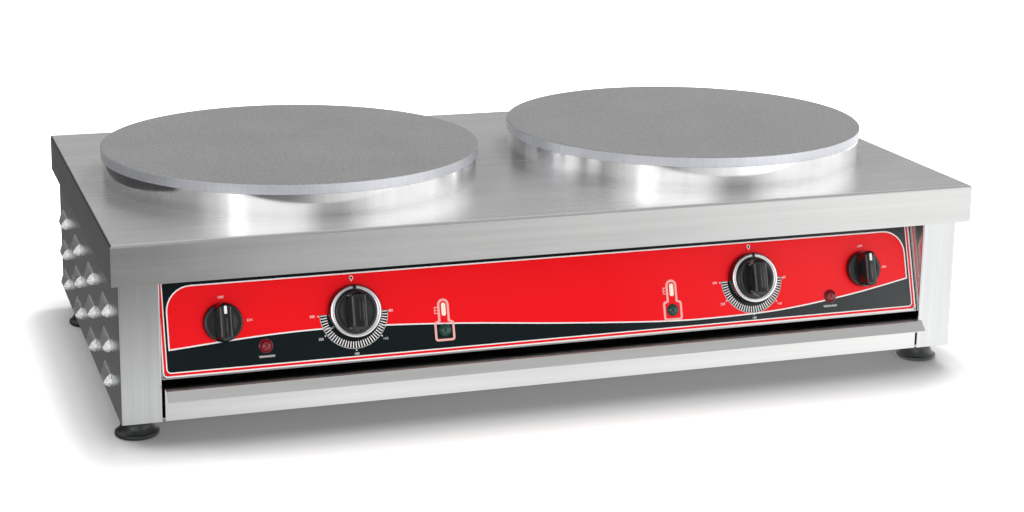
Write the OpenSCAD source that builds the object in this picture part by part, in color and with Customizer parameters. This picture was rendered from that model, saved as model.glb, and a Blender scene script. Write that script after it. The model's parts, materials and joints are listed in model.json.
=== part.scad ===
// Twin electric crepe griddle: two round cast plates on a folded steel cabinet,
// with a tilted control panel and a crumb tray that pulls out underneath.
// Origin: on the bench, below the middle of the top sheet.
// +X is the operator's right, +Y the back, +Z up. All sizes are millimetres.

/* [Top sheet] */
// Width of the top sheet over its aprons
top_w = 907; // [902:1:950]
// Depth of the top sheet over its aprons
top_d = 506; // [500:1:550]
// Height of the folded apron
apron_h = 40; // [36:1:50]
// Outside radius of the top sheet's bends
top_bend_r = 3; // [2:0.5:5]
// Inward hem at the foot of the apron
hem_w = 5; // [3:0.5:5]

/* [Cabinet] */
// Height of the cabinet below the apron
body_h = 141; // [136:1:160]
// Set-back of the side panels from the apron
side_inset = 7.5; // [6:0.5:10]
// Set-back of the posts from the front apron
front_inset = 14.5; // [8:0.5:18]
// Set-back of the rear panel from the rear apron
rear_inset = 6.5; // [6:0.5:15]
// Thickness of the cabinet's sheet steel
sheet_t = 1.2; // [1:0.1:1.5]
// Outside radius of the posts' bends
post_bend_r = 2; // [1.6:0.1:4]
// Width of each front post
post_w = 39.5; // [36:0.5:46]
// Width of the side panels' rear flange
rear_flange_w = 16; // [14:1:24]
// Width of the side panels' top flange
top_flange_w = 12; // [11:0.5:14]
// Thickness of the base pan
base_t = 1.2; // [1:0.1:2]

/* [Louvres] */
// Most louvres along each row
vent_columns = 4; // [2:1:4]
// Rows of louvres on each side
vent_rows = 3; // [1:1:3]
// Distance between louvres along a row
vent_pitch_y = 115; // [70:1:116]
// Distance between rows
vent_pitch_z = 35.5; // [30:0.5:38]
// First louvre's nose, behind the post's face
vent_start = 67.5; // [64:0.5:72]
// Lowest row, above the cabinet's bottom edge
vent_low = 23; // [18:0.5:24]
// Length of a louvre
vent_len = 46; // [40:1:52]
// Height of a louvre
vent_h = 12.4; // [10:0.1:14]
// How far a louvre stands out
vent_out = 7; // [5:0.5:7.4]

/* [Griddle plates] */
// Diameter of a griddle plate
plate_d = 400; // [380:1:404]
// Height of a plate's visible rim
plate_rim_h = 10.8; // [9:0.1:14]
// Depth of the plate's spigot inside the collar
spigot_h = 8; // [5:0.5:10]
// Distance between the plates' centres
plate_pitch = 453.5; // [446:0.5:456]
// The plates' centres, behind the middle of the top sheet
plate_y = 1; // [-4:1:6]
// Height of the polished collar under a plate
collar_h = 22.5; // [18:0.5:28]
// How far a plate overhangs its collar
plate_overhang = 1; // [0.5:0.1:2]
// Thickness of the collar's steel
collar_t = 1.5; // [1:0.1:2]
// Width of the collar's foot flange
collar_flange_w = 14; // [12:1:18]
// Chamfer of the plate's top edge
plate_chamfer = 0.8; // [0.4:0.1:1.5]

/* [Heating] */
// Diameter of the tubular heating element
element_d = 8.5; // [8:0.1:9]
// Radius of the element's outer turn
element_r_out = 150; // [146:1:152]
// Distance between the element's turns
element_pitch = 40; // [38:1:42]
// Open angle between an element's ends
element_gap = 24; // [22:1:30]
// Thickness of the plate that clamps the element
clamp_t = 1.5; // [1:0.1:2.5]
// Thickness of the insulation disc
insulation_t = 14; // [10:0.5:16]
// Thickness of the insulation pan's steel
pan_t = 0.8; // [0.6:0.1:1.2]
// Thickness of the support bar under the pan
bar_t = 4; // [3:0.5:5]
// Width of the support bar
bar_w = 40; // [36:1:50]
// Distance of a plate's studs inside the element's outer turn
stud_r_pos = 22; // [19:0.5:23]
// Diameter of the plates' studs
stud_d = 8; // [6:0.5:8]
// Diameter of a thermostat's bulb
bulb_d = 6; // [5:0.5:6]
// Length of a thermostat's bulb
bulb_len = 80; // [60:1:84]

/* [Control panel] */
// Backward tilt of the control panel
panel_tilt = 17; // [14:0.5:18]
// Set-back of the panel's lower edge from the posts' faces
panel_setback = 4; // [3:0.5:6]
// Height of the printed film on the panel
film_h = 104; // [98:1:106]
// Thickness of the printed film
film_t = 0.5; // [0.3:0.1:0.8]
// Bare steel below the film
film_low = 1.5; // [1:0.1:3]
// Height of the knobs' centres up the panel
knob_v = 50; // [48:0.5:52]
// Distance of the on/off knobs from the panel's ends
switch_u = 61; // [56:0.1:65]
// Distance of the thermostat knobs from the panel's ends
thermostat_u = 191.1; // [181:0.1:200]
// Height of the lamps up the panel
lamp_v = 23.8; // [21:0.1:25]
// Distance of the green lamps from the panel's ends
green_u = 282.7; // [266:0.1:295]
// Distance of the red lamps from the panel's ends
red_u = 101.5; // [100:0.1:107]
// Diameter of a green lamp's lens
green_d = 12.4; // [11:0.1:14]
// Diameter of a red lamp's lens
red_d = 14; // [12:0.1:15]

/* [Knobs] */
// Diameter of the on/off knob's skirt
switch_knob_d = 38.5; // [34:0.5:40]
// Height of the on/off knob's skirt
switch_skirt_h = 7; // [5:0.5:9]
// Height of the on/off knob over the panel
switch_knob_h = 22; // [18:0.5:26]
// Diameter of the thermostat knob's skirt
dial_d = 53; // [51:0.5:56]
// Height of the thermostat knob's skirt
dial_skirt_h = 9; // [7:0.5:12]
// Height of the thermostat knob over the panel
dial_h = 26; // [22:0.5:30]
// Outside diameter of the thermostat knob's bright ring
ring_d = 51; // [48:0.5:51]
// Width of the bright ring
ring_w = 4.6; // [3:0.1:6]
// Width of the knobs' finger grips
grip_w = 19; // [14:0.5:20]
// Diameter of the spindles
spindle_d = 6; // [5:0.5:7]

/* [Crumb tray] */
// Height of the tray's front
tray_front_h = 34; // [30:0.5:36]
// Gap between the tray's front and each post
tray_side_gap = 2.5; // [1:0.1:4]
// Slot between the tray's front and the control panel
tray_slot = 6.5; // [5:0.5:10]
// Depth of the tray box
tray_d = 440; // [380:1:460]
// Height of the tray box's walls
tray_wall_h = 26; // [20:0.5:27]
// Thickness of the tray's steel
tray_t = 1; // [0.8:0.1:1.2]
// Depth of the flat part of the pull lip
lip_flat = 12; // [9:0.5:16]
// Size of the sloping part of the pull lip, forwards and down
lip_slope = 9; // [6:0.5:12]
// Thickness of the tray front and its lip
lip_t = 1.2; // [1:0.1:1.5]
// Thickness of a runner
runner_t = 1.5; // [1:0.1:2]
// Width of a runner's ledge
runner_w = 14; // [10:0.5:20]
// Sliding clearance between the tray and its runners
slide_clearance = 0.4; // [0.3:0.1:0.6]

/* [Feet] */
// Height of a foot, bench to cabinet
foot_h = 22.5; // [20:0.5:28]
// Diameter of a foot's rim
foot_d = 43.5; // [40:0.5:48]
// Diameter of a foot's top
foot_top_d = 31.5; // [28:0.5:34]
// Height of a foot's rim
foot_rim_h = 4.5; // [3:0.5:6]
// Distance of the feet from the cabinet's sides
foot_side = 19.5; // [17:0.5:20]
// Distance of the front feet behind the posts' faces
foot_front = 35.5; // [32:0.5:44]
// Distance of the rear feet before the rear panel
foot_rear = 75; // [60:1:100]
// Diameter of a foot's threaded stud
foot_stud_d = 10; // [8:0.5:10]

/* [Mains inlet] */
// Distance of the cable gland from the cabinet's right side
gland_x = 116; // [96:1:166]
// Height of the cable gland above the electrics shelf
gland_up = 40; // [36:1:50]
// Diameter of the cable's way through the gland
gland_bore = 14; // [10:0.5:15]
// Diameter of the gland's thread
gland_thread_d = 25; // [20:0.5:25]

/* [Hidden] */
$fn = 96;

// Clearances
seat_gap = 0.3;      // between two fitted pieces
panel_gap = 0.8;     // at each end of the control panel
run_gap = 0.05;      // radial, round a turning spindle or stud
hole_gap = 0.4;      // radial, round a screw or a fixed stud
knob_gap = 0.8;      // between a knob's skirt and the film
cut = 1;             // how far a cutting tool passes a face
bend_bead = 1.15;    // bead at a wire's bend, in wire diameters

// Cabinet levels and faces
body_z = foot_h;
apron_z = body_z + body_h;
top_z = apron_z + apron_h;
deck_z = top_z - sheet_t;
body_w = top_w - 2 * side_inset;
front_y = front_inset - top_d / 2;
rear_y = top_d / 2 - rear_inset;
bay_half = body_w / 2 - post_w;

// Control panel
panel_z = body_z + tray_front_h + tray_slot;
panel_tuck = 12;                       // how far the panel runs up behind the apron
panel_v = (apron_z + panel_tuck - panel_z) / cos(panel_tilt);
panel_half = bay_half - panel_gap;
tab_d = 14;                            // depth of the panel's folded tabs
tab_inset = 8;                         // tabs stop short of the panel's top and bottom
return_d = panel_setback + panel_v * sin(panel_tilt) + tab_d + 4;
shelf_z = panel_z - sheet_t;
shelf_flange_h = 7;
slots = 10;                            // air slots in each row of the shelf and the base pan
slot_pitch = 60;
slot_len = 38;
slot_w = 6;
panel_screw_v = [20, panel_v - 32];    // the panel's screws at each end, up the panel
switch_x = panel_half - switch_u;      // from the panel's middle
thermostat_x = panel_half - thermostat_u;
green_x = panel_half - green_u;
red_x = panel_half - red_u;

// Louvres
vent_room = rear_y - rear_flange_w - vent_len / 2 - front_y - vent_start;
vent_shown = min(vent_columns, floor(vent_room / vent_pitch_y) + 1);

// Griddle plates and what hangs below them
plate_r = plate_d / 2;
collar_r = plate_r - plate_overhang;
hole_r = collar_r - collar_flange_w;
spigot_r = collar_r - collar_t - panel_gap;
plate_low = top_z + collar_h;          // underside of the rim
plate_bot = plate_low - spigot_h;
clamp_z = plate_bot - 2 * seat_gap - element_d - clamp_t;
insulation_z = clamp_z - insulation_t;
pan_z = insulation_z - pan_t;
pan_r = hole_r - 3;
pan_h = plate_bot - 2 - pan_z;
clamp_r = pan_r - pan_t - 8;
bar_z = pan_z - bar_t;
bar_riser = hole_r + 1;                // inner face of the bar's upright
bar_pad_w = 17;                        // length of the bar's end pads
bar_bolt = hole_r + 12;
bar_bolt_d = 5;
bar_bolt_below = 12;                   // bolt below the bar's end pad
bar_nut_af = 8;
bar_nut_h = 4;
stud_ring = element_r_out - stud_r_pos;
stud_in_plate = 8;                     // thread inside the plate
stud_below = 12;                       // stud below the support bar
nut_af = 13;                           // across flats of the plates' nuts
nut_h = 6.5;
element_turns = 3;
element_block_w = element_d + 0.5;     // thickness of the blocks that join the turns
element_block_t = 0.25;                // how far those blocks stand out over the tube
element_z = plate_bot - seat_gap - element_d / 2;
element_drop = 34;                     // terminal's length below the element
bulb_x = element_r_out - 1.5 * element_pitch - 8;
bulb_tube_y = 3 - bulb_len / 2;        // the tube leaves the bulb near its front end
tube_d = 2;
tube_hole_d = 4;
tube_low_z = bar_z - 8;
bead_d = 13;
bead_h = 6;

// Thermostats, switches and lamps, behind the panel
thermostat_w = 42;
thermostat_h = 38;
thermostat_depth = 34;
switch_w = 46;
switch_depth = 40;
neck_d = 16;                           // neck of a switch or thermostat at the panel
neck_h = 3;
lamp_body_d = 9;
lamp_body_len = 28;
neck_up = 6;                           // a wire leaves a switch this far below its knob
tube_up = 8;                           // and a thermostat this far above its knob
side_wire_in = 17;                     // wires between the controls, before their backs
spindle_in = 14;                       // spindle's length inside its switch
spindle_hole_d = 10;                   // hole in the panel round a spindle
lamp_gap = 0.4;                        // on the diameter, round a lamp's body
lamp_nut_h = 3;
lamp_nut_rim = 3;                      // a lamp nut's diameter over its body
bezel_h = 1.2;
bezel_rise = 0.6;
green_dome_h = 3.4;
red_dome_h = 5;

// Knobs
knob_round = 1.5;                      // bevel round the on/off knob's skirt
grip_taper = 3;                        // a grip narrows by this towards its top
grip_edge = 1;                         // bevel along a grip's top
pointer_w = 2.4;
pointer_len = 8;
pointer_t = 0.6;
pointer_in = 6.5;                      // pointer's middle from the skirt's edge
crown_h = 3;                           // crown inside the bright ring
ring_t = 1.2;
ring_lip = 0.8;                        // ring's thickness at its inner edge
ring_bevel = 1;
ring_notch = 3.2;

// Crumb tray
tray_half = bay_half - tray_side_gap;
tray_z = body_z + sheet_t + base_t + runner_t + slide_clearance;
tray_box_half = tray_half - 4;
tray_front_y = front_y + 0.5;          // outer face of the tray's front
runner_guide_h = 14;

// Feet
foot_gap = 0.5;
foot_stud_up = 26;                     // stud above the cabinet's bottom edge
foot_nut_h = 8;
foot_nut_af = 15;
front_foot_y = front_y + foot_front;
rear_foot_y = rear_y - foot_rear;
base_edge = foot_side + 11;            // base pan's edge from the cabinet's side
base_screws = 3;                       // along each side of the base pan
foot_base = 2;                         // step under the rim

// Mains inlet
gland_mid = body_w / 2 - gland_x;
gland_z = shelf_z + sheet_t + gland_up;
gland_nut_h = 6;
gland_nut_af = 30;
gland_out = 12.5;
gland_in = 10;
block_w = 60;
block_d = 26;
block_h = 28;
block_back = 40;                       // terminal block's back, before the rear panel
terminal_pitch = 11;
terminal_d = 6;
terminal_deep = 4;
gland_cap = 4;                         // gland's cap, on the diameter, inside its nut
wire_d = 5;
lane_y = front_y + 110;                // where the wires cross the cabinet
lane_z = shelf_z + sheet_t + wire_d / 2 + 6;
switch_lead = 24;                      // straight run of a wire behind a switch
thermostat_lead = 20;                  // behind a thermostat
element_lead = 18;                     // below an element's end

// Screws
screw_d = 4;
screw_head_d = 7;
screw_head_h = 2.4;
screw_len = 8;

steel = [0.78, 0.78, 0.79];
bright_steel = [0.86, 0.87, 0.88];
dark_steel = [0.55, 0.56, 0.57];
cast = [0.56, 0.56, 0.57];
black_plastic = [0.06, 0.06, 0.07];
rubber_black = [0.08, 0.08, 0.08];
print_red = [0.93, 0.11, 0.14];
lamp_green = [0.02, 0.3, 0.2];
lamp_red = [0.6, 0.05, 0.08];
ceramic_white = [0.9, 0.88, 0.84];
fibre = [0.88, 0.86, 0.8];
copper_brown = [0.45, 0.25, 0.16];
brass = [0.8, 0.66, 0.36];

// A box from two corners
module block(low, high) {
    translate(low) cube(high - low);
}

// A hexagonal prism, af across its flats
module hex_prism(af, height) {
    cylinder(d = af / cos(30), h = height, $fn = 6);
}

// A straight rod between two points
module rod(from, to, d) {
    run = to - from;
    length = norm(run);
    turn = atan2(run[1], run[0]);
    lean = acos(run[2] / length);
    translate(from) rotate([0, lean, turn]) cylinder(d = d, h = length, $fn = 32);
}

// A wire or tube through a list of points: square ends, a slightly thicker bead at each bend
module wire(points, d) {
    for (i = [0:len(points) - 2])
        rod(points[i], points[i + 1], d);
    for (i = [1:len(points) - 2])
        translate(points[i]) sphere(d = d * bend_bead, $fn = 32);
}

// Puts children on the control panel: x along it, y up it, z out of its face
module on_panel(u = 0, v = 0) {
    translate([0, front_y + panel_setback, panel_z])
        rotate([90 - panel_tilt, 0, 0])
            translate([u, v, 0])
                children();
}

// World point of a place on the control panel, depth below its face
function panel_point(u, v, depth) = [
    u,
    front_y + panel_setback + v * sin(panel_tilt) + depth * cos(panel_tilt),
    panel_z + v * cos(panel_tilt) - depth * sin(panel_tilt)
];

// Places where wires and tubes meet the controls and the elements, and points a little before them
function switch_back(side, before) =
    panel_point(side * switch_x, knob_v - neck_up, sheet_t + neck_h + switch_depth + before);
function thermostat_back(side, before) =
    panel_point(side * thermostat_x, knob_v + tube_up, sheet_t + neck_h + thermostat_depth + before);
function thermostat_top(side, before) =
    panel_point(side * thermostat_x, knob_v + thermostat_h / 2 + before,
                sheet_t + neck_h + thermostat_depth / 2);
function control_side(side, u, half) =
    panel_point(side * (u + half), knob_v, sheet_t + neck_h + side_wire_in);
function element_tail(side, before) = let (angle = -90 - element_gap / 2, half = element_block_w / 2) [
    side * plate_pitch / 2 + element_r_out * cos(angle) - half * sin(angle),
    plate_y + element_r_out * sin(angle) + half * cos(angle),
    element_z - element_drop - before
];

// Puts children at a plate's centre on the top sheet
module at_plate(side) {
    translate([side * plate_pitch / 2, plate_y, 0]) children();
}

// A pan-head screw: head outside, shank along +Z
module pan_screw() {
    translate([0, 0, -screw_head_h])
        cylinder(d = screw_head_d, h = screw_head_h);
    cylinder(d = screw_d, h = screw_len);
}

// ---- Top sheet ----

// Outline of the folded top across one direction, with round upper corners
module folded_outline(width, height, r) {
    translate([-width / 2, 0]) square([width, height - r]);
    translate([-width / 2 + r, 0]) square([width - 2 * r, height]);
    for (end = [-1, 1])
        translate([end * (width / 2 - r), height - r]) circle(r);
}

// Solid with round upper edges: the crossing of two folded outlines
module folded_block(width, depth, height, r) {
    intersection() {
        translate([0, depth / 2 + cut, 0])
            rotate([90, 0, 0])
                linear_extrude(depth + 2 * cut) folded_outline(width, height, r);
        translate([-width / 2 - cut, 0, 0])
            rotate([90, 0, 90])
                linear_extrude(width + 2 * cut) folded_outline(depth, height, r);
    }
}

module top_sheet() {
    inner_r = top_bend_r - sheet_t;
    color(steel)
    difference() {
        translate([0, 0, apron_z]) folded_block(top_w, top_d, apron_h, top_bend_r);
        translate([0, 0, apron_z + sheet_t])
            folded_block(top_w - 2 * sheet_t, top_d - 2 * sheet_t, apron_h - 2 * sheet_t, inner_r);
        block([-top_w / 2 + hem_w, -top_d / 2 + hem_w, apron_z - cut],
              [top_w / 2 - hem_w, top_d / 2 - hem_w, apron_z + sheet_t + cut]);
        for (side = [-1, 1])
            at_plate(side) translate([0, 0, deck_z - cut]) cylinder(r = hole_r, h = sheet_t + 2 * cut);
    }
}

// ---- Cabinet ----

// Plan of the left side panel: wall, post face and the return behind it
module side_plan() {
    r = post_bend_r;
    left = -body_w / 2;
    right = left + post_w;
    translate([left, front_y + r]) square([sheet_t, rear_y - front_y - r]);
    translate([left + r, front_y]) square([post_w - 2 * r, sheet_t]);
    translate([right - sheet_t, front_y + r]) square([sheet_t, return_d - r]);
    translate([left, rear_y - 2 * sheet_t - seat_gap]) square([rear_flange_w, sheet_t]);
    for (corner = [[left + r, -1], [right - r, 1]])
        translate([corner[0], front_y + r])
            intersection() {
                difference() {
                    circle(r);
                    circle(r - sheet_t);
                }
                translate([corner[1] > 0 ? 0 : -r, -r]) square(r);
            }
}

// Section of a louvre across its length: a slope out from the wall and a lower edge
module louvre_section(height, out, drop) {
    polygon([[cut, height / 2], [0, height / 2], [-out, -drop], [0, -height / 2], [cut, -height / 2]]);
}

// A louvre's outside, its nose at the origin and its tail towards +Y
module louvre_skin() {
    intersection() {
        translate([0, vent_len, 0])
            rotate([90, 0, 0])
                linear_extrude(vent_len) louvre_section(vent_h, vent_out, vent_out / 5);
        translate([0, 0, -vent_h])
            linear_extrude(2 * vent_h)
                polygon([[cut, 0], [0, 0], [-vent_out, 1], [-vent_out, vent_len / 2],
                         [0, vent_len], [cut, vent_len]]);
    }
}

// The space inside a louvre, open through the wall and along its lower edge
module louvre_space() {
    wall = sheet_t * 0.8;
    in = sheet_t + cut;
    intersection() {
        translate([0, vent_len, 0])
            rotate([90, 0, 0])
                linear_extrude(vent_len)
                    polygon([[in, vent_h / 2 - wall], [0, vent_h / 2 - wall],
                             [-vent_out + wall * 1.3, -vent_out / 5], [-vent_out + wall * 1.3, -vent_h],
                             [0, -vent_h], [0, -vent_h / 2 + wall], [in, -vent_h / 2 + wall]]);
        translate([0, 0, -2 * vent_h])
            linear_extrude(4 * vent_h)
                polygon([[in, wall * 1.6], [0, wall * 1.6], [-vent_out + wall, 1 + wall * 1.6],
                         [-vent_out + wall, vent_len / 2], [0, vent_len - wall * 4],
                         [in, vent_len - wall * 4]]);
    }
}

// Puts children at each louvre's place on the left side panel
module at_louvres() {
    for (column = [0:vent_shown - 1], row = [0:vent_rows - 1])
        translate([-body_w / 2, front_y + vent_start + column * vent_pitch_y,
                   body_z + vent_low + row * vent_pitch_z])
            children();
}

// Folded side panel with its front post, flanges and pressed louvres; the right one is a mirror image
module side_panel() {
    left = -body_w / 2;
    difference() {
        union() {
            translate([0, 0, body_z]) linear_extrude(deck_z - body_z) side_plan();
            block([left + sheet_t, front_y + sheet_t, body_z],
                  [left + post_w - sheet_t, rear_y - 2 * sheet_t - seat_gap, body_z + sheet_t]);
            block([left + sheet_t, front_y + sheet_t, deck_z - sheet_t],
                  [left + top_flange_w, rear_y - 2 * sheet_t - seat_gap, deck_z]);
            at_louvres() louvre_skin();
        }
        at_louvres() louvre_space();
        for (y = [front_foot_y, rear_foot_y])
            translate([left + foot_side, y, body_z - cut])
                cylinder(d = foot_stud_d + 2 * run_gap, h = sheet_t + 2 * cut);
        for (v = panel_screw_v)
            translate(panel_point(left + post_w, v, tab_d / 2))
                rotate([0, 90, 0]) cylinder(d = screw_d + 2 * hole_gap, h = 4 * sheet_t, center = true);
        at_base_screws()
            translate([0, 0, -2 * sheet_t]) cylinder(d = screw_d + 2 * hole_gap, h = 3 * sheet_t);
        at_rear_screws() cylinder(d = screw_d + 2 * hole_gap, h = 4 * sheet_t);
    }
}

module rear_panel() {
    half = body_w / 2 - sheet_t - seat_gap;
    color(steel)
    difference() {
        block([-half, rear_y - sheet_t, body_z], [half, rear_y, deck_z]);
        translate([gland_mid, rear_y, gland_z])
            rotate([90, 0, 0])
                cylinder(d = gland_thread_d + 2 * hole_gap, h = 6 * sheet_t, center = true);
        at_rear_screws() cylinder(d = screw_d + 2 * hole_gap, h = 6 * sheet_t, center = true);
    }
}

// Puts children at the rear panel's screws, +Z into the cabinet
module at_rear_screws() {
    for (side = [-1, 1], z = [body_z + 30, (body_z + deck_z) / 2, deck_z - 20])
        translate([side * (body_w / 2 - rear_flange_w / 2), rear_y, z]) rotate([90, 0, 0]) children();
}

// The bottom of the cabinet, resting on the side panels' lower flanges
module base_pan() {
    low = body_z + sheet_t;
    behind_posts = front_y + return_d + seat_gap;
    color(dark_steel)
    difference() {
        union() {
            block([-bay_half + seat_gap, front_y + 4, low],
                  [bay_half - seat_gap, behind_posts + cut, low + base_t]);
            block([-body_w / 2 + base_edge, behind_posts, low],
                  [body_w / 2 - base_edge, rear_y - 3 * sheet_t, low + base_t]);
        }
        air_slots(low, base_t, -60);
        air_slots(low, base_t, 60);
        at_base_screws() cylinder(d = screw_d + 2 * hole_gap, h = 20, center = true);
    }
}

// A row of round-ended air slots through a plate
module air_slots(low, thickness, y) {
    flat = slot_len - slot_w;
    height = thickness + 2 * cut;
    for (i = [0:slots - 1])
        translate([(i - (slots - 1) / 2) * slot_pitch, y, low - cut]) {
            translate([-flat / 2, -slot_w / 2, 0]) cube([flat, slot_w, height]);
            for (end = [-1, 1])
                translate([end * flat / 2, 0, 0]) cylinder(d = slot_w, h = height, $fn = 32);
        }
}

// Puts children at the base pan's screws, heads below, +Z up
module at_base_screws() {
    span = rear_foot_y - front_foot_y;
    for (side = [-1, 1], i = [1:base_screws])
        translate([side * (body_w / 2 - base_edge + screw_head_d / 2 + 0.5),
                   front_foot_y + span * (i - 0.5) / base_screws, body_z + sheet_t])
            children();
}

// Shelf that closes off the tray's bay and carries the electrics and the panel's lower edge
module electrics_shelf() {
    half = body_w / 2 - sheet_t - seat_gap;
    behind_posts = front_y + return_d + seat_gap;
    back = rear_y - 3 * sheet_t;
    color(dark_steel)
    difference() {
        union() {
            block([-bay_half + seat_gap, front_y + panel_setback + 5, shelf_z],
                  [bay_half - seat_gap, behind_posts + cut, shelf_z + sheet_t]);
            block([-half, behind_posts, shelf_z], [half, back, shelf_z + sheet_t]);
            for (side = [-1, 1])
                block([side > 0 ? half - sheet_t : -half, behind_posts, shelf_z],
                      [side > 0 ? half : -half + sheet_t, back, shelf_z + shelf_flange_h]);
        }
        air_slots(shelf_z, sheet_t, 40);
        air_slots(shelf_z, sheet_t, 120);
    }
}

// ---- Control panel ----

// Tilted steel panel with a foot flange, two end tabs and its holes
module control_panel() {
    color(steel)
    difference() {
        union() {
            on_panel() block([-panel_half, 0, -sheet_t], [panel_half, panel_v, 0]);
            block([-panel_half, front_y + panel_setback + sheet_t / 2, panel_z],
                  [panel_half, front_y + panel_setback + tab_d, panel_z + sheet_t]);
            for (side = [-1, 1])
                on_panel()
                    block([side > 0 ? panel_half - sheet_t : -panel_half, tab_inset, -tab_d],
                          [side > 0 ? panel_half : -panel_half + sheet_t, panel_v - tab_inset, -sheet_t / 2]);
        }
        panel_holes(sheet_t + 2 * cut);
        for (side = [-1, 1], v = panel_screw_v)
            translate(panel_point(side * panel_half, v, tab_d / 2))
                rotate([0, 90, 0]) cylinder(d = screw_d, h = 6 * sheet_t, center = true);
    }
}

// Holes for the necks and lamps, through the panel and its film
module panel_holes(depth) {
    for (side = [-1, 1]) {
        for (u = [switch_x, thermostat_x])
            on_panel(side * u, knob_v)
                translate([0, 0, -depth / 2]) cylinder(d = spindle_hole_d, h = depth);
        for (u = [green_x, red_x])
            on_panel(side * u, lamp_v)
                translate([0, 0, -depth / 2]) cylinder(d = lamp_body_d + lamp_gap, h = depth);
    }
}

module panel_film() {
    color(print_red)
    difference() {
        on_panel() block([-panel_half + 1, film_low, 0], [panel_half - 1, film_low + film_h, film_t]);
        panel_holes(4 * cut + 2 * film_t);
    }
}

// ---- Griddle plates ----

module griddle_plate(side) {
    top = plate_low + plate_rim_h;
    c = plate_chamfer;
    color(cast)
    at_plate(side)
    difference() {
        rotate_extrude($fn = 180)
            polygon([[0, plate_bot], [spigot_r, plate_bot], [spigot_r, plate_low], [plate_r - c / 2, plate_low],
                     [plate_r, plate_low + c / 2], [plate_r, top - c], [plate_r - c, top], [0, top]]);
        for (end = [-1, 1])
            translate([end * stud_ring, 0, plate_bot - cut])
                cylinder(d = stud_d + 2 * run_gap, h = stud_in_plate + cut);
    }
}

module collar(side) {
    color(bright_steel)
    at_plate(side)
    translate([0, 0, top_z])
    rotate_extrude($fn = 180)
        polygon([[hole_r, 0], [collar_r, 0], [collar_r, collar_h], [collar_r - collar_t, collar_h],
                 [collar_r - collar_t, collar_t], [hole_r, collar_t]]);
}

// One tubular element: three turns in one run, with its two ends turned down
module heating_element(side) {
    a = element_gap / 2;
    color(dark_steel)
    at_plate(side)
    translate([0, 0, element_z]) {
        for (turn = [0:element_turns - 1])
            rotate([0, 0, -90 + a])
                rotate_extrude(angle = 360 - element_gap, $fn = 120)
                    translate([element_r_out - turn * element_pitch, 0]) circle(d = element_d, $fn = 32);
        element_block(-90 + a, -1, element_r_out - element_pitch, element_r_out);
        element_block(-90 - a, 1, element_r_out - 2 * element_pitch, element_r_out - element_pitch);
        element_block(-90 - a, 1, element_r_out, element_r_out);
        element_block(-90 + a, -1, element_r_out - 2 * element_pitch, element_r_out - 2 * element_pitch);
        at_element_ends()
            translate([0, 0, -element_drop]) cylinder(d = element_d, h = element_drop - element_d / 2 + cut);
    }
}

// A block round the ends of the turns between two radii, on the open side of those ends
module element_block(angle, way, from, to) {
    half = element_d / 2 + element_block_t;
    rotate([0, 0, angle])
        block([from - half - cut, way > 0 ? -cut : -element_block_w, -half],
              [to + half + cut, way > 0 ? element_block_w : cut, half]);
}

// Puts children on the axis of each of a plate's element ends
module at_element_ends() {
    a = element_gap / 2;
    for (end = [[-90 - a, element_r_out, 1], [-90 + a, element_r_out - 2 * element_pitch, -1]])
        rotate([0, 0, end[0]]) translate([end[1], end[2] * element_block_w / 2, 0]) children();
}

// Holes that the studs, element ends and bulb tube need in a disc
module disc_holes(z, height) {
    translate([0, 0, z]) {
        for (end = [-1, 1])
            translate([end * stud_ring, 0, 0]) cylinder(d = stud_d + 2 * hole_gap, h = height);
        at_element_ends() cylinder(d = element_d + 2 * hole_gap, h = height);
        translate([-bulb_x, bulb_tube_y, 0]) cylinder(d = tube_hole_d, h = height);
    }
}

module element_clamp(side) {
    color(steel)
    at_plate(side)
    difference() {
        translate([0, 0, clamp_z]) cylinder(r = clamp_r, h = clamp_t);
        disc_holes(clamp_z - cut, clamp_t + 2 * cut);
    }
}

module insulation(side) {
    color(fibre)
    at_plate(side)
    difference() {
        translate([0, 0, insulation_z]) cylinder(r = pan_r - pan_t - seat_gap, h = insulation_t);
        disc_holes(insulation_z - cut, insulation_t + 2 * cut);
    }
}

module insulation_pan(side) {
    color(dark_steel)
    at_plate(side)
    difference() {
        translate([0, 0, pan_z]) cylinder(r = pan_r, h = pan_h);
        translate([0, 0, pan_z + pan_t]) cylinder(r = pan_r - pan_t, h = pan_h);
        disc_holes(pan_z - cut, pan_t + 2 * cut);
    }
}

// Bar across the pan's underside, its ends pulled up against the top sheet
module support_bar(side) {
    color(steel)
    at_plate(side)
    difference() {
        union() {
            block([-bar_riser - bar_t, -bar_w / 2, bar_z], [bar_riser + bar_t, bar_w / 2, bar_z + bar_t]);
            for (end = [0, 180])
                rotate([0, 0, end]) {
                    block([bar_riser, -bar_w / 2, bar_z], [bar_riser + bar_t, bar_w / 2, deck_z]);
                    block([bar_riser, -bar_w / 2, deck_z - bar_t],
                          [bar_riser + bar_pad_w, bar_w / 2, deck_z]);
                }
        }
        for (end = [-1, 1]) {
            translate([end * stud_ring, 0, bar_z - cut])
                cylinder(d = stud_d + 2 * hole_gap, h = bar_t + 2 * cut);
            translate([end * bar_bolt, 0, deck_z - bar_t - cut])
                cylinder(d = bar_bolt_d + 2 * hole_gap, h = bar_t + cut);
        }
    }
}

module plate_studs() {
    color(steel)
    for (side = [-1, 1], end = [-1, 1])
        at_plate(side)
            translate([end * stud_ring, 0, bar_z - stud_below])
                cylinder(d = stud_d, h = plate_bot + stud_in_plate - bar_z + stud_below);
}

module plate_nuts() {
    color(steel)
    for (side = [-1, 1], end = [-1, 1])
        at_plate(side)
            translate([end * stud_ring, 0, bar_z - nut_h])
                difference() {
                    hex_prism(nut_af, nut_h);
                    translate([0, 0, -cut]) cylinder(d = stud_d + 2 * run_gap, h = nut_h + 2 * cut);
                }
}

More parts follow.
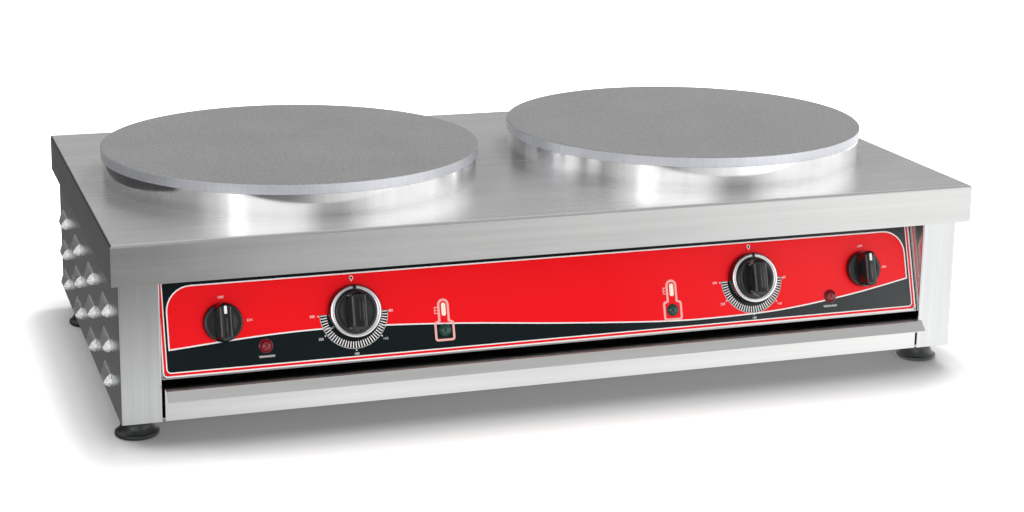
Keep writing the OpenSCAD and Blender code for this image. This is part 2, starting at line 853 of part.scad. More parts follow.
// Weld studs under the top sheet, with their nuts, at the ends of the support bars
module bar_fasteners() {
    color(steel)
    for (side = [-1, 1], end = [-1, 1])
        at_plate(side)
            translate([end * bar_bolt, 0, deck_z - bar_t - bar_bolt_below]) {
                cylinder(d = bar_bolt_d, h = bar_t + bar_bolt_below);
                translate([0, 0, bar_bolt_below - bar_nut_h]) hex_prism(bar_nut_af, bar_nut_h);
            }
}

// Ceramic beads that lead the element ends out through the pan
module element_insulators() {
    color(ceramic_white)
    for (side = [-1, 1])
        at_plate(side)
            at_element_ends()
                translate([0, 0, pan_z - bead_h])
                    difference() {
                        cylinder(d = bead_d, h = bead_h);
                        translate([0, 0, -cut]) cylinder(d = element_d + 2 * run_gap, h = bead_h + 2 * cut);
                    }
}

// Bulb under the plate and the fine tube down to the thermostat
module thermostat_bulb(side) {
    x = side * plate_pitch / 2 - bulb_x;
    y = plate_y + bulb_tube_y;
    bulb_z = plate_bot - bulb_d / 2;
    seat = thermostat_top(side, 0);
    over = thermostat_top(side, 14);
    color(brass) {
        translate([x, plate_y + bulb_len / 2, bulb_z])
            rotate([90, 0, 0]) cylinder(d = bulb_d, h = bulb_len, $fn = 32);
        wire([[x, y, bulb_z], [x, y, tube_low_z], [x, over[1], tube_low_z], over, seat], tube_d);
    }
}

// ---- Controls ----

// A box behind the panel with a neck against it and a bore for the spindle
module control_box(u, width, height, depth) {
    on_panel(u, knob_v)
    difference() {
        union() {
            translate([0, 0, -sheet_t - neck_h]) cylinder(d = neck_d, h = neck_h);
            block([-width / 2, -height / 2, -sheet_t - neck_h - depth],
                  [width / 2, height / 2, -sheet_t - neck_h]);
        }
        translate([0, 0, -sheet_t - neck_h - spindle_in - run_gap])
            cylinder(d = spindle_d + 2 * run_gap, h = spindle_in + neck_h + cut);
    }
}

module thermostat(side) {
    color(dark_steel) control_box(side * thermostat_x, thermostat_w, thermostat_h, thermostat_depth);
}

module switch(side) {
    color(black_plastic) control_box(side * switch_x, switch_w, switch_w, switch_depth);
}

// A spindle from inside its switch up into its knob
module spindle(u, knob_height) {
    top = film_t + knob_gap + knob_height / 2;
    on_panel(u, knob_v)
        translate([0, 0, -sheet_t - neck_h - spindle_in])
            cylinder(d = spindle_d, h = sheet_t + neck_h + spindle_in + top);
}

module switch_spindle(side) {
    color(steel) spindle(side * switch_x, switch_knob_h);
}

module dial_spindle(side) {
    color(steel) spindle(side * thermostat_x, dial_h);
}

// A finger grip: a bar across the knob, as long as the circle it stands in
module grip(width, d, low, high) {
    intersection() {
        translate([0, 0, low]) cylinder(d1 = d, d2 = d - grip_taper, h = high - low);
        union() {
            block([-width / 2 + grip_edge, -d, low], [width / 2 - grip_edge, d, high]);
            block([-width / 2, -d, low], [width / 2, d, high - grip_edge]);
        }
    }
}

// Space for the spindle inside a knob
module knob_bore(knob_height) {
    translate([0, 0, -cut]) cylinder(d = spindle_d + 2 * run_gap, h = knob_height / 2 + cut);
}

module switch_knob(side) {
    d = switch_knob_d;
    color(black_plastic)
    on_panel(side * switch_x, knob_v)
    translate([0, 0, film_t + knob_gap])
    difference() {
        union() {
            rotate_extrude()
                polygon([[0, 0], [d / 2, 0], [d / 2, switch_skirt_h - knob_round],
                         [d / 2 - knob_round, switch_skirt_h], [0, switch_skirt_h]]);
            grip(grip_w, d - 1, switch_skirt_h - 1, switch_knob_h);
        }
        knob_bore(switch_knob_h);
        translate([0, d / 2 - pointer_in, switch_knob_h - pointer_t]) pointer_bar(cut + pointer_t);
    }
}

// The white bar set into the on/off knob's grip
module pointer_bar(height) {
    block([-pointer_w / 2, -pointer_len / 2, 0], [pointer_w / 2, pointer_len / 2, height]);
}

module switch_pointer(side) {
    color("white")
    on_panel(side * switch_x, knob_v)
    translate([0, switch_knob_d / 2 - pointer_in, film_t + knob_gap + switch_knob_h - pointer_t])
        pointer_bar(pointer_t);
}

// Thermostat knob: a skirt with a ledge for its bright ring, a low crown and a grip
module dial(side) {
    r = dial_d / 2;
    seat_r = ring_d / 2 - ring_w;
    color(black_plastic)
    on_panel(side * thermostat_x, knob_v)
    translate([0, 0, film_t + knob_gap])
    difference() {
        union() {
            rotate_extrude()
                polygon([[0, 0], [r, 0], [r - 0.4, dial_skirt_h], [seat_r, dial_skirt_h],
                         [seat_r - 2, dial_skirt_h + crown_h], [0, dial_skirt_h + crown_h]]);
            grip(grip_w, 2 * seat_r - 4, dial_skirt_h, dial_h);
        }
        knob_bore(dial_h);
    }
}

module dial_ring(side) {
    outer = ring_d / 2;
    inner = outer - ring_w;
    color(bright_steel)
    on_panel(side * thermostat_x, knob_v)
    translate([0, 0, film_t + knob_gap + dial_skirt_h])
    difference() {
        rotate_extrude()
            polygon([[inner, 0], [outer, 0], [outer - ring_bevel, ring_t], [inner, ring_lip]]);
        block([-ring_notch / 2, inner - cut, -cut], [ring_notch / 2, outer + cut, ring_t + cut]);
    }
}

// A lamp's lens: a flange on the film and a dome
module lamp_lens(u, d, dome_h) {
    on_panel(u, lamp_v)
    translate([0, 0, film_t])
    rotate_extrude()
        polygon([[0, 0], [d / 2, 0], [d / 2, bezel_h], [d / 2 - 0.8, bezel_h + bezel_rise],
                 [d / 2 - 2, dome_h - bezel_rise], [d / 4, dome_h], [0, dome_h]]);
}

module green_lamp(side) {
    color(lamp_green) lamp_lens(side * green_x, green_d, green_dome_h);
}

module red_lamp(side) {
    color(lamp_red) lamp_lens(side * red_x, red_d, red_dome_h);
}

module lamp_bodies() {
    color(black_plastic)
    for (side = [-1, 1], u = [green_x, red_x])
        on_panel(side * u, lamp_v) {
            translate([0, 0, -lamp_body_len]) cylinder(d = lamp_body_d, h = lamp_body_len + film_t);
            translate([0, 0, -sheet_t - lamp_nut_h]) cylinder(d = lamp_body_d + lamp_nut_rim, h = lamp_nut_h);
        }
}

// ---- Crumb tray ----

module tray_box() {
    back = tray_front_y + lip_t + tray_d;
    color(steel)
    difference() {
        block([-tray_box_half, tray_front_y + lip_t, tray_z], [tray_box_half, back, tray_z + tray_wall_h]);
        block([-tray_box_half + tray_t, tray_front_y + lip_t + tray_t, tray_z + tray_t],
              [tray_box_half - tray_t, back - tray_t, tray_z + tray_wall_h + cut]);
    }
}

// Front plate with its pull lip: up, forwards, then sloping down
module tray_front() {
    top = body_z + tray_front_h;
    f = lip_flat;
    s = lip_slope;
    color(bright_steel)
    translate([-tray_half, tray_front_y, 0])
        rotate([90, 0, 90])
            linear_extrude(2 * tray_half)
                polygon([[0, body_z], [lip_t, body_z], [lip_t, top], [-f, top], [-f - s, top - s],
                         [-f - s + lip_t * 0.7, top - s - lip_t * 0.7], [-f + lip_t * 0.4, top - lip_t],
                         [0, top - lip_t]]);
}

// Ledge and guide that carry the tray on each side
module tray_runners() {
    low = body_z + sheet_t + base_t;
    inner = tray_box_half + slide_clearance;
    back = tray_front_y + lip_t + tray_d;
    color(dark_steel)
    for (side = [0, 1])
        mirror([side, 0, 0]) {
            block([inner - runner_w, front_y + 5, low], [inner + runner_t, back, low + runner_t]);
            block([inner, front_y + 5, low], [inner + runner_t, back, low + runner_guide_h]);
            block([inner - runner_w, back + slide_clearance, low],
                  [inner + runner_t, back + slide_clearance + runner_t, low + runner_guide_h]);
        }
}

// ---- Feet ----

module foot(side, y) {
    top = foot_h - foot_gap;
    translate([side * (body_w / 2 - foot_side), y, 0]) {
        color(rubber_black)
        rotate_extrude()
            polygon([[0, 0], [foot_d / 2 - foot_base, 0], [foot_d / 2, foot_base / 2],
                     [foot_d / 2, foot_rim_h - 1], [foot_d / 2 - 1, foot_rim_h],
                     [foot_d / 2 - 3, foot_rim_h + 2],
                     [foot_top_d / 2 + 1, top - 6], [foot_top_d / 2, top - 1], [foot_top_d / 2 - 1, top],
                     [0, top]]);
        color(steel) translate([0, 0, top - 1]) cylinder(d = foot_stud_d, h = foot_gap + foot_stud_up + 1);
    }
}

// ---- Mains inlet and wiring ----

module cable_gland() {
    color(black_plastic)
    translate([gland_mid, rear_y, gland_z])
    rotate([-90, 0, 0])
    difference() {
        union() {
            translate([0, 0, -gland_in - sheet_t]) cylinder(d = gland_thread_d, h = gland_in + sheet_t);
            translate([0, 0, -sheet_t - gland_nut_h]) hex_prism(gland_nut_af, gland_nut_h);
            hex_prism(gland_nut_af, gland_nut_h);
            translate([0, 0, gland_nut_h])
                cylinder(d = gland_nut_af - gland_cap, h = gland_out - gland_nut_h);
        }
        translate([0, 0, -gland_in - sheet_t - cut])
            cylinder(d = gland_bore, h = gland_in + sheet_t + gland_out + 2 * cut);
    }
}

module terminal_block() {
    low = shelf_z + sheet_t;
    back = rear_y - block_back;
    color(ceramic_white)
    difference() {
        block([gland_mid - block_w / 2, back - block_d, low], [gland_mid + block_w / 2, back, low + block_h]);
        for (i = [-2:2])
            translate([gland_mid + i * terminal_pitch, back - block_d / 2, low + block_h - terminal_deep])
                cylinder(d = terminal_d, h = terminal_deep + cut, $fn = 32);
    }
}

// Mains wires: block to switches, switches to thermostats, thermostats to elements
module wiring() {
    block_front = rear_y - block_back - block_d;
    color(copper_brown) {
        for (side = [-1, 1]) {
            x = gland_mid - side * block_w / 4;
            y = lane_y - side * wire_d;
            z = lane_z - side * wire_d;
            wire([[x, block_front, z], [x, y, z], [side * switch_x, y, z],
                  switch_back(side, switch_lead), switch_back(side, 0)], wire_d);
            wire([control_side(side, switch_x, -switch_w / 2),
                  control_side(side, thermostat_x, thermostat_w / 2)], wire_d);
            wire([thermostat_back(side, 0), thermostat_back(side, thermostat_lead),
                  element_tail(side, element_lead), element_tail(side, 0)], wire_d);
        }
    }
}

// Foot nuts, panel screws, rear screws and base screws
module small_fasteners() {
    color(steel) {
        for (side = [-1, 1], y = [front_foot_y, rear_foot_y])
            translate([side * (body_w / 2 - foot_side), y, body_z + sheet_t])
                difference() {
                    hex_prism(foot_nut_af, foot_nut_h);
                    translate([0, 0, -cut]) cylinder(d = foot_stud_d + 2 * run_gap, h = foot_nut_h + 2 * cut);
                }
        for (side = [-1, 1], v = panel_screw_v)
            translate(panel_point(side * (bay_half + sheet_t), v, tab_d / 2))
                rotate([0, -90 * side, 0]) pan_screw();
        at_rear_screws() pan_screw();
        at_base_screws() translate([0, 0, -sheet_t]) pan_screw();
    }
}

top_sheet();
color(steel) side_panel();  // left_side_panel
color(steel) mirror([1, 0, 0]) side_panel();  // right_side_panel
rear_panel();
base_pan();
electrics_shelf();
control_panel();
panel_film();
griddle_plate(-1);  // left_griddle_plate
griddle_plate(1);  // right_griddle_plate
collar(-1);  // left_collar
collar(1);  // right_collar
heating_element(-1);  // left_heating_element
heating_element(1);  // right_heating_element
element_clamp(-1);  // left_element_clamp
element_clamp(1);  // right_element_clamp
insulation(-1);  // left_insulation
insulation(1);  // right_insulation
insulation_pan(-1);  // left_insulation_pan
insulation_pan(1);  // right_insulation_pan
support_bar(-1);  // left_support_bar
support_bar(1);  // right_support_bar
plate_studs();
plate_nuts();
bar_fasteners();
element_insulators();
thermostat_bulb(-1);  // left_thermostat_bulb
thermostat_bulb(1);  // right_thermostat_bulb
thermostat(-1);  // left_thermostat
thermostat(1);  // right_thermostat
switch(-1);  // left_switch
switch(1);  // right_switch
switch_knob(-1);  // left_switch_knob
switch_knob(1);  // right_switch_knob
switch_pointer(-1);  // left_switch_pointer
switch_pointer(1);  // right_switch_pointer
switch_spindle(-1);  // left_switch_spindle
switch_spindle(1);  // right_switch_spindle
dial(-1);  // left_dial
dial(1);  // right_dial
dial_ring(-1);  // left_dial_ring
dial_ring(1);  // right_dial_ring
dial_spindle(-1);  // left_dial_spindle
dial_spindle(1);  // right_dial_spindle
green_lamp(-1);  // left_green_lamp
green_lamp(1);  // right_green_lamp
red_lamp(-1);  // left_red_lamp
red_lamp(1);  // right_red_lamp
lamp_bodies();
tray_box();
tray_front();
tray_runners();
foot(-1, front_foot_y);  // front_left_foot
foot(1, front_foot_y);  // front_right_foot
foot(-1, rear_foot_y);  // rear_left_foot
foot(1, rear_foot_y);  // rear_right_foot
cable_gland();
terminal_block();
wiring();
small_fasteners();
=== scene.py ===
"""Finishes, print, knobs, lamps, feet and studio for the twin crepe griddle."""

import json
import logging
import math
from dataclasses import dataclass, field
from enum import Enum

import bmesh
import bpy
from mathutils import Matrix, Vector


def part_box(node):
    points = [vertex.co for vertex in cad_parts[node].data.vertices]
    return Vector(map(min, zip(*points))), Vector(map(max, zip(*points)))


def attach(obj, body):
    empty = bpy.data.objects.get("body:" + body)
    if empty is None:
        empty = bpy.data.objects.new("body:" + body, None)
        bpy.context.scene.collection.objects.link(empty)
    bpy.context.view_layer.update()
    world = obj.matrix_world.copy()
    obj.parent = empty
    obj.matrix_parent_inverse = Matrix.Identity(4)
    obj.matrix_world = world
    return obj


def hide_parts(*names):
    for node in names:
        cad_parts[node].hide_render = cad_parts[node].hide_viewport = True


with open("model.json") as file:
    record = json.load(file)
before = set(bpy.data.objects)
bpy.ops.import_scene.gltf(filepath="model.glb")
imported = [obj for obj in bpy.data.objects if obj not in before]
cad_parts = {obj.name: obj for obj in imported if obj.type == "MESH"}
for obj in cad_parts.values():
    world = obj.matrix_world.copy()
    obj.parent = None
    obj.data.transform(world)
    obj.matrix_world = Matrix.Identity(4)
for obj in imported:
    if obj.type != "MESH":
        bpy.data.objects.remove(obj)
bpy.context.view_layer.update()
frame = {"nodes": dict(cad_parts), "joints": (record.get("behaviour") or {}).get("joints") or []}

MM = 0.001
CAPITAL = 0.7  # a capital's height as a share of the lettering's size
LOG = logging.getLogger("griddle")
Outline = list[tuple[float, float]]
Section = list[tuple[float, float, float]]
Colour = tuple[float, float, float]
Place = tuple[float, float, float]  # also a direction, or a factor along each axis
Levels = tuple[tuple[float, float], ...]
Feed = bpy.types.NodeSocket | float | Colour


# ---------------------------------------------------------------- finishes


class Graph:
    """A node tree with short ways to add and join nodes."""

    def __init__(self, tree: bpy.types.NodeTree) -> None:
        """Empties a tree and keeps it.

        Args:
            tree: the material's or the world's node tree.
        """
        tree.nodes.clear()
        self.tree = tree

    def add(self, kind: str, **values: object) -> bpy.types.Node:
        """Adds a node and sets its properties and inputs.

        Args:
            kind: the node's type name, without the ShaderNode prefix.
            values: properties by name, or input values by their name with _ for spaces.

        Returns:
            The new node.
        """
        node = self.tree.nodes.new("ShaderNode" + kind)
        for name, value in values.items():
            if hasattr(node, name):
                setattr(node, name, value)
            else:
                node.inputs[name.replace("_", " ")].default_value = value
        return node

    def join(self, source: bpy.types.NodeSocket, target: bpy.types.NodeSocket) -> None:
        """Links two sockets."""
        self.tree.links.new(source, target)

    def ramp(self, source: bpy.types.NodeSocket, stops: list[tuple[float, Colour]]) -> bpy.types.NodeSocket:
        """Sends a value through a colour ramp.

        Args:
            source: the value's socket.
            stops: position and colour of each stop, in order.

        Returns:
            The colour's socket.
        """
        node = self.add("ValToRGB")
        while len(node.color_ramp.elements) < len(stops):
            node.color_ramp.elements.new(0.5)
        for element, (position, colour) in zip(node.color_ramp.elements, stops):
            element.position = position
            element.color = (*colour, 1.0)
        self.join(source, node.inputs["Fac"])
        return node.outputs["Color"]

    def remap(self, source: bpy.types.NodeSocket, low: float, high: float,
              start: float = 0.0, stop: float = 1.0) -> bpy.types.NodeSocket:
        """Maps a value from start..stop to low..high.

        Args:
            source: the value's socket.
            low: result at start.
            high: result at stop.
            start: lower input.
            stop: upper input.

        Returns:
            The mapped value's socket.
        """
        node = self.add("MapRange")
        for name, value in (("From Min", start), ("From Max", stop), ("To Min", low), ("To Max", high)):
            node.inputs[name].default_value = value
        self.join(source, node.inputs["Value"])
        return node.outputs["Result"]

    def noise(self, place: bpy.types.NodeSocket, scale: float, stretch: Place = (1.0, 1.0, 1.0),
              detail: float = 4.0) -> bpy.types.NodeSocket:
        """Adds noise over a place.

        Args:
            place: coordinates in metres.
            scale: features per metre.
            stretch: factor on the scale along each axis.
            detail: octaves.

        Returns:
            The noise's socket.
        """
        mapping = self.add("Mapping")
        mapping.inputs["Scale"].default_value = stretch
        self.join(place, mapping.inputs["Vector"])
        node = self.add("TexNoise", Scale=scale, Detail=detail, Roughness=0.55)
        self.join(mapping.outputs["Vector"], node.inputs["Vector"])
        return node.outputs["Fac"]

    def split(self, source: bpy.types.NodeSocket) -> bpy.types.Node:
        """Splits a place or a direction into its axes.

        Args:
            source: the place's or the direction's socket.

        Returns:
            The node whose outputs are X, Y and Z.
        """
        node = self.add("SeparateXYZ")
        self.join(source, node.inputs[0])
        return node

    def reckon(self, operation: str, *values: Feed) -> bpy.types.NodeSocket:
        """Adds one step of arithmetic.

        Args:
            operation: the step's name, as the maths node has it.
            values: what it works on, in order.

        Returns:
            The result's socket.
        """
        node = self.add("Math", operation=operation)
        for value, target in zip(values, node.inputs):
            self.feed(value, target)
        return node.outputs["Value"]

    def choose(self, share: Feed, first: bpy.types.NodeSocket, second: bpy.types.NodeSocket) -> bpy.types.NodeSocket:
        """Mixes two shaders.

        Args:
            share: 0 for the first, 1 for the second.
            first: a shader's socket.
            second: another's.

        Returns:
            The mixed shader's socket.
        """
        node = self.add("MixShader")
        for value, target in zip((share, first, second), node.inputs):
            self.feed(value, target)
        return node.outputs[0]

    def feed(self, value: Feed, target: bpy.types.NodeSocket) -> None:
        """Links a socket, or sets a plain value.

        Args:
            value: a socket, a number or a colour.
            target: the input that takes it.
        """
        if isinstance(value, bpy.types.NodeSocket):
            self.join(value, target)
        elif isinstance(value, tuple):
            target.default_value = (*value, 1.0)
        else:
            target.default_value = value

    def blend(self, share: Feed, low: Feed, high: Feed, how: str = "MIX") -> bpy.types.NodeSocket:
        """Blends two values or colours.

        Args:
            share: 0 for low, 1 for high.
            low: a value, colour or socket.
            high: another of the same kind.
            how: the blend's type.

        Returns:
            The blend's socket.
        """
        node = self.add("Mix", data_type="RGBA", blend_type=how)
        self.feed(share, node.inputs["Factor"])
        self.feed((low,) * 3 if isinstance(low, float) else low, node.inputs[6])
        self.feed((high,) * 3 if isinstance(high, float) else high, node.inputs[7])
        return node.outputs[2]

    def bump(self, height: bpy.types.NodeSocket, strength: Feed, depth: float,
             under: bpy.types.NodeSocket | None = None) -> bpy.types.NodeSocket:
        """Adds a bump.

        Args:
            height: the height's socket, 0 to 1.
            strength: how much of the bump shows.
            depth: the height's size in metres.
            under: a normal to add the bump to.

        Returns:
            The bumped normal's socket.
        """
        node = self.add("Bump", Distance=depth)
        self.feed(strength, node.inputs["Strength"])
        self.join(height, node.inputs["Height"])
        if under is not None:
            self.join(under, node.inputs["Normal"])
        return node.outputs["Normal"]


@dataclass(frozen=True)
class Finish:
    """What every finish has: a name, the record's slot and the surface's plain values."""

    name: str
    slot: str
    colour: Colour
    roughness: float = 0.4
    metallic: float = 0.0
    coat: float = 0.0
    coat_roughness: float = 0.06
    specular: float = 0.5

    def material(self) -> bpy.types.Material:
        """Makes the finish's material on first use.

        Returns:
            The material, the same one each time.
        """
        found = bpy.data.materials.get(self.name)
        if found:
            return found
        made = bpy.data.materials.new(self.name)
        made.use_nodes = True
        made.diffuse_color = (*self.colour, 1.0)
        graph = Graph(made.node_tree)
        output = graph.add("OutputMaterial")
        shader = graph.add("BsdfPrincipled", Metallic=self.metallic, Roughness=self.roughness)
        shader.inputs["Base Color"].default_value = (*self.colour, 1.0)
        shader.inputs["Coat Weight"].default_value = self.coat
        shader.inputs["Coat Roughness"].default_value = self.coat_roughness
        shader.inputs["Specular IOR Level"].default_value = self.specular
        graph.join(shader.outputs["BSDF"], output.inputs["Surface"])
        self.detail(graph, shader, graph.add("TexCoord").outputs["Object"])
        return made

    def tint(self, factor: float) -> Colour:
        """Returns the finish's colour, lighter or darker by a factor."""
        return tuple(min(1.0, part * factor) for part in self.colour)

    def detail(self, graph: Graph, shader: bpy.types.Node, place: bpy.types.NodeSocket) -> None:
        """Adds what varies over the surface.

        Args:
            graph: the material's graph.
            shader: its principled shader.
            place: coordinates in metres.
        """
        raise NotImplementedError


class Grain(Enum):
    """Which way a sheet was brushed; the value is the grain's axis."""

    ALONG_X = 0
    ALONG_Y = 1

    def stretch(self, turned: bool) -> Place:
        """Returns the stretch of the grain's noise, or that of the faces across the grain's axis."""
        axis = (self.value + 1) % 3 if turned else self.value
        return tuple(0.02 if i == axis else 1.0 for i in range(3))


@dataclass(frozen=True)
class SheetSteel(Finish):
    """Stainless sheet: fine brushed grain, soft streaks and faint handling marks."""

    metallic: float = 1.0
    grain: Grain = Grain.ALONG_X
    grain_scale: float = 900.0
    grain_depth: float = 0.000012
    streak_scale: float = 90.0
    wave_scale: float = 5.0
    wave: float = 0.00004
    marks: float = 0.02
    marks_scale: float = 14.0
    # Painted light: above this height the sheet is less metallic than below it, so the top face and the aprons of one
    # sheet render in different tones.
    rubbed_above: float | None = None
    rubbed_edge: float = 0.0006
    rubbed: float = 0.52

    def detail(self, graph: Graph, shader: bpy.types.Node, place: bpy.types.NodeSocket) -> None:
        """Adds grain, streaks, marks, the slight waviness of thin sheet and, where set, painted light as a lower
        metallic above a height.

        Args:
            graph: the material's graph.
            shader: its principled shader.
            place: coordinates in metres.
        """
        facing = graph.split(graph.add("TexCoord").outputs["Normal"])
        turned = graph.remap(graph.reckon("ABSOLUTE", facing.outputs[self.grain.value]), 0.0, 1.0, 0.5, 0.6)
        fine, streak = (graph.blend(turned, graph.noise(place, scale, self.grain.stretch(False), detail),
                                    graph.noise(place, scale, self.grain.stretch(True), detail))
                        for scale, detail in ((self.grain_scale, 3.0), (self.streak_scale, 5.0)))
        handled = graph.noise(place, self.marks_scale, detail=6.0)
        graph.join(graph.ramp(streak, [(0.3, self.tint(0.93)), (0.7, self.tint(1.05))]), shader.inputs["Base Color"])
        worn = graph.remap(handled, self.roughness - self.marks, self.roughness + self.marks, 0.35, 0.7)
        graph.join(graph.reckon("ADD", graph.remap(fine, -0.05, 0.05), worn), shader.inputs["Roughness"])
        # Painted light: the face above the height gets a lower metallic than the aprons below it.
        if self.rubbed_above is not None:
            height, top = graph.split(place).outputs["Z"], self.rubbed_above
            graph.join(graph.remap(height, self.metallic, self.rubbed, top - self.rubbed_edge, top),
                       shader.inputs["Metallic"])
        wavy = graph.bump(graph.noise(place, self.wave_scale, detail=1.0), 1.0, self.wave)
        graph.join(graph.bump(fine, 0.6, self.grain_depth, wavy), shader.inputs["Normal"])


@dataclass(frozen=True)
class PolishedSteel(Finish):
    """Mirror-polished rolled band with faint upright rolling lines."""

    metallic: float = 1.0
    roughness: float = 0.09
    line_scale: float = 160.0
    line_depth: float = 0.00003
    smear_scale: float = 22.0

    def detail(self, graph: Graph, shader: bpy.types.Node, place: bpy.types.NodeSocket) -> None:
        """Adds rolling lines and a slight unevenness of the polish.

        Args:
            graph: the material's graph.
            shader: its principled shader.
            place: coordinates in metres.
        """
        lines = graph.noise(place, self.line_scale, (1.0, 1.0, 0.03), 4.0)
        smear = graph.noise(place, self.smear_scale, detail=5.0)
        graph.join(graph.ramp(lines, [(0.3, self.tint(0.95)), (0.7, self.tint(1.04))]), shader.inputs["Base Color"])
        graph.join(graph.remap(smear, self.roughness - 0.03, self.roughness + 0.07, 0.3, 0.75),
                   shader.inputs["Roughness"])
        graph.join(graph.bump(lines, 0.4, self.line_depth), shader.inputs["Normal"])


@dataclass(frozen=True)
class GriddleIron(Finish):
    """Cast iron plate: speckled seasoned top with turning rings, and a bright turned rim below it.

    The ring scale is the wave texture's own, and sets the rings 10 mm apart.
    """

    metallic: float = 0.35
    roughness: float = 0.55
    centre_x: float = 0.0
    centre_y: float = 0.0
    rim_top: float = 0.236
    rim_colour: Colour = (0.7, 0.71, 0.76)
    rim_roughness: float = 0.34
    rim_metallic: float = 0.7
    speck_scale: float = 620.0
    cloud_scale: float = 9.0
    turning_scale: float = 260.0
    grit_scale: float = 1500.0
    grit_depth: float = 0.00009
    ring_scale: float = 31.25
    ring_depth: float = 0.00004
    edge: float = 0.0003

    def detail(self, graph: Graph, shader: bpy.types.Node, place: bpy.types.NodeSocket) -> None:
        """Adds speckle, seasoning clouds, turning rings and the rim's own finish.

        Args:
            graph: the material's graph.
            shader: its principled shader.
            place: coordinates in metres.
        """
        height = graph.split(place).outputs["Z"]
        top = graph.remap(height, 0.0, 1.0, self.rim_top - self.edge, self.rim_top + self.edge)
        cloud = graph.noise(place, self.cloud_scale, detail=5.0)
        speckled = graph.ramp(graph.noise(place, self.speck_scale, detail=3.0),
                              [(0.28, self.tint(0.66)), (0.5, self.tint(1.0)), (0.74, self.tint(1.45))])
        clouded = graph.ramp(cloud, [(0.25, (0.88, 0.88, 0.89)), (0.75, (1.0, 1.0, 1.0))])
        seasoned = graph.blend(1.0, speckled, clouded, "MULTIPLY")
        turned = graph.ramp(graph.noise(place, self.turning_scale, (1.0, 1.0, 0.2), 3.0),
                            [(0.3, tuple(0.9 * part for part in self.rim_colour)), (0.7, self.rim_colour)])
        graph.join(graph.blend(top, turned, seasoned), shader.inputs["Base Color"])
        worn = graph.remap(cloud, self.roughness - 0.06, self.roughness + 0.08, 0.3, 0.7)
        graph.join(graph.blend(top, self.rim_roughness, worn), shader.inputs["Roughness"])
        graph.join(graph.blend(top, self.rim_metallic, self.metallic), shader.inputs["Metallic"])
        centred = graph.add("Mapping")
        centred.inputs["Location"].default_value = (-self.centre_x, -self.centre_y, 0.0)
        graph.join(place, centred.inputs["Vector"])
        rings = graph.add("TexWave", wave_type="RINGS", rings_direction="Z", Scale=self.ring_scale,
                          Distortion=0.6, Detail=1.0)
        graph.join(centred.outputs["Vector"], rings.inputs["Vector"])
        tool = graph.bump(rings.outputs["Fac"], 0.25, self.ring_depth)
        grit = graph.noise(place, self.grit_scale, detail=2.0)
        graph.join(graph.bump(grit, graph.remap(top, 0.15, 0.7), self.grit_depth, tool), shader.inputs["Normal"])


@dataclass(frozen=True)
class Plated(Finish):
    """Bare, plated or heat-tinted metal with a mottle of two tones."""

    metallic: float = 1.0
    mottle: float = 120.0
    spread: float = 0.18
    pit_depth: float = 0.00004

    def detail(self, graph: Graph, shader: bpy.types.Node, place: bpy.types.NodeSocket) -> None:
        """Adds the mottle to colour, roughness and bump.

        Args:
            graph: the material's graph.
            shader: its principled shader.
            place: coordinates in metres.
        """
        patch = graph.noise(place, self.mottle, detail=5.0)
        graph.join(graph.ramp(patch, [(0.3, self.tint(1 - self.spread)), (0.7, self.tint(1 + self.spread))]),
                   shader.inputs["Base Color"])
        graph.join(graph.remap(patch, self.roughness + 0.08, self.roughness - 0.06), shader.inputs["Roughness"])
        graph.join(graph.bump(patch, 0.5, self.pit_depth), shader.inputs["Normal"])


@dataclass(frozen=True)
class Moulded(Finish):
    """Moulded plastic, rubber or ceramic: fine skin texture and faint tone changes."""

    skin: float = 1400.0
    skin_depth: float = 0.00002
    tone_scale: float = 60.0
    spread: float = 0.12

    def detail(self, graph: Graph, shader: bpy.types.Node, place: bpy.types.NodeSocket) -> None:
        """Adds the moulded skin and slow changes of tone and gloss.

        Args:
            graph: the material's graph.
            shader: its principled shader.
            place: coordinates in metres.
        """
        skin = graph.noise(place, self.skin, detail=2.0)
        slow = graph.noise(place, self.tone_scale, detail=4.0)
        graph.join(graph.ramp(slow, [(0.3, self.tint(1 - self.spread)), (0.7, self.tint(1 + self.spread))]),
                   shader.inputs["Base Color"])
        graph.join(graph.remap(slow, self.roughness - 0.03, self.roughness + 0.04), shader.inputs["Roughness"])
        graph.join(graph.bump(skin, 0.4, self.skin_depth), shader.inputs["Normal"])


@dataclass(frozen=True)
class Ink(Finish):
    """Screen-printed ink on film: a hint of mesh in the ink and a clear satin face, with a painted sheen where set.
    """

    mesh_scale: float = 2000.0
    wipe_scale: float = 30.0
    peel_scale: float = 450.0
    peel_depth: float = 0.00002
    # Painted sheen: how far the specular level rises along X, and over which span.
    sheen: float = 0.0
    sheen_from: tuple[float, float] = (0.05, 0.4)

    def detail(self, graph: Graph, shader: bpy.types.Node, place: bpy.types.NodeSocket) -> None:
        """Adds the print's mesh, orange peel, wiped-clean streaks and, where set, a painted sheen towards the right.

        Args:
            graph: the material's graph.
            shader: its principled shader.
            place: coordinates in metres.
        """
        dots = graph.noise(place, self.mesh_scale, detail=1.0)
        wiped = graph.noise(place, self.wipe_scale, (0.15, 1.0, 1.0), 4.0)
        graph.join(graph.ramp(dots, [(0.35, self.tint(0.96)), (0.65, self.tint(1.03))]), shader.inputs["Base Color"])
        graph.join(graph.remap(wiped, self.roughness - 0.03, self.roughness + 0.07, 0.3, 0.75),
                   shader.inputs["Roughness"])
        peel = graph.noise(place, self.peel_scale, detail=1.0)
        graph.join(graph.bump(peel, 0.25, self.peel_depth), shader.inputs["Normal"])
        # Painted sheen: the specular level rises along X towards the right, standing in for a reflection on the
        # film's right end.
        if self.sheen:
            across = graph.split(place).outputs["X"]
            graph.join(graph.remap(across, self.specular, self.specular + self.sheen, *self.sheen_from),
                       shader.inputs["Specular IOR Level"])


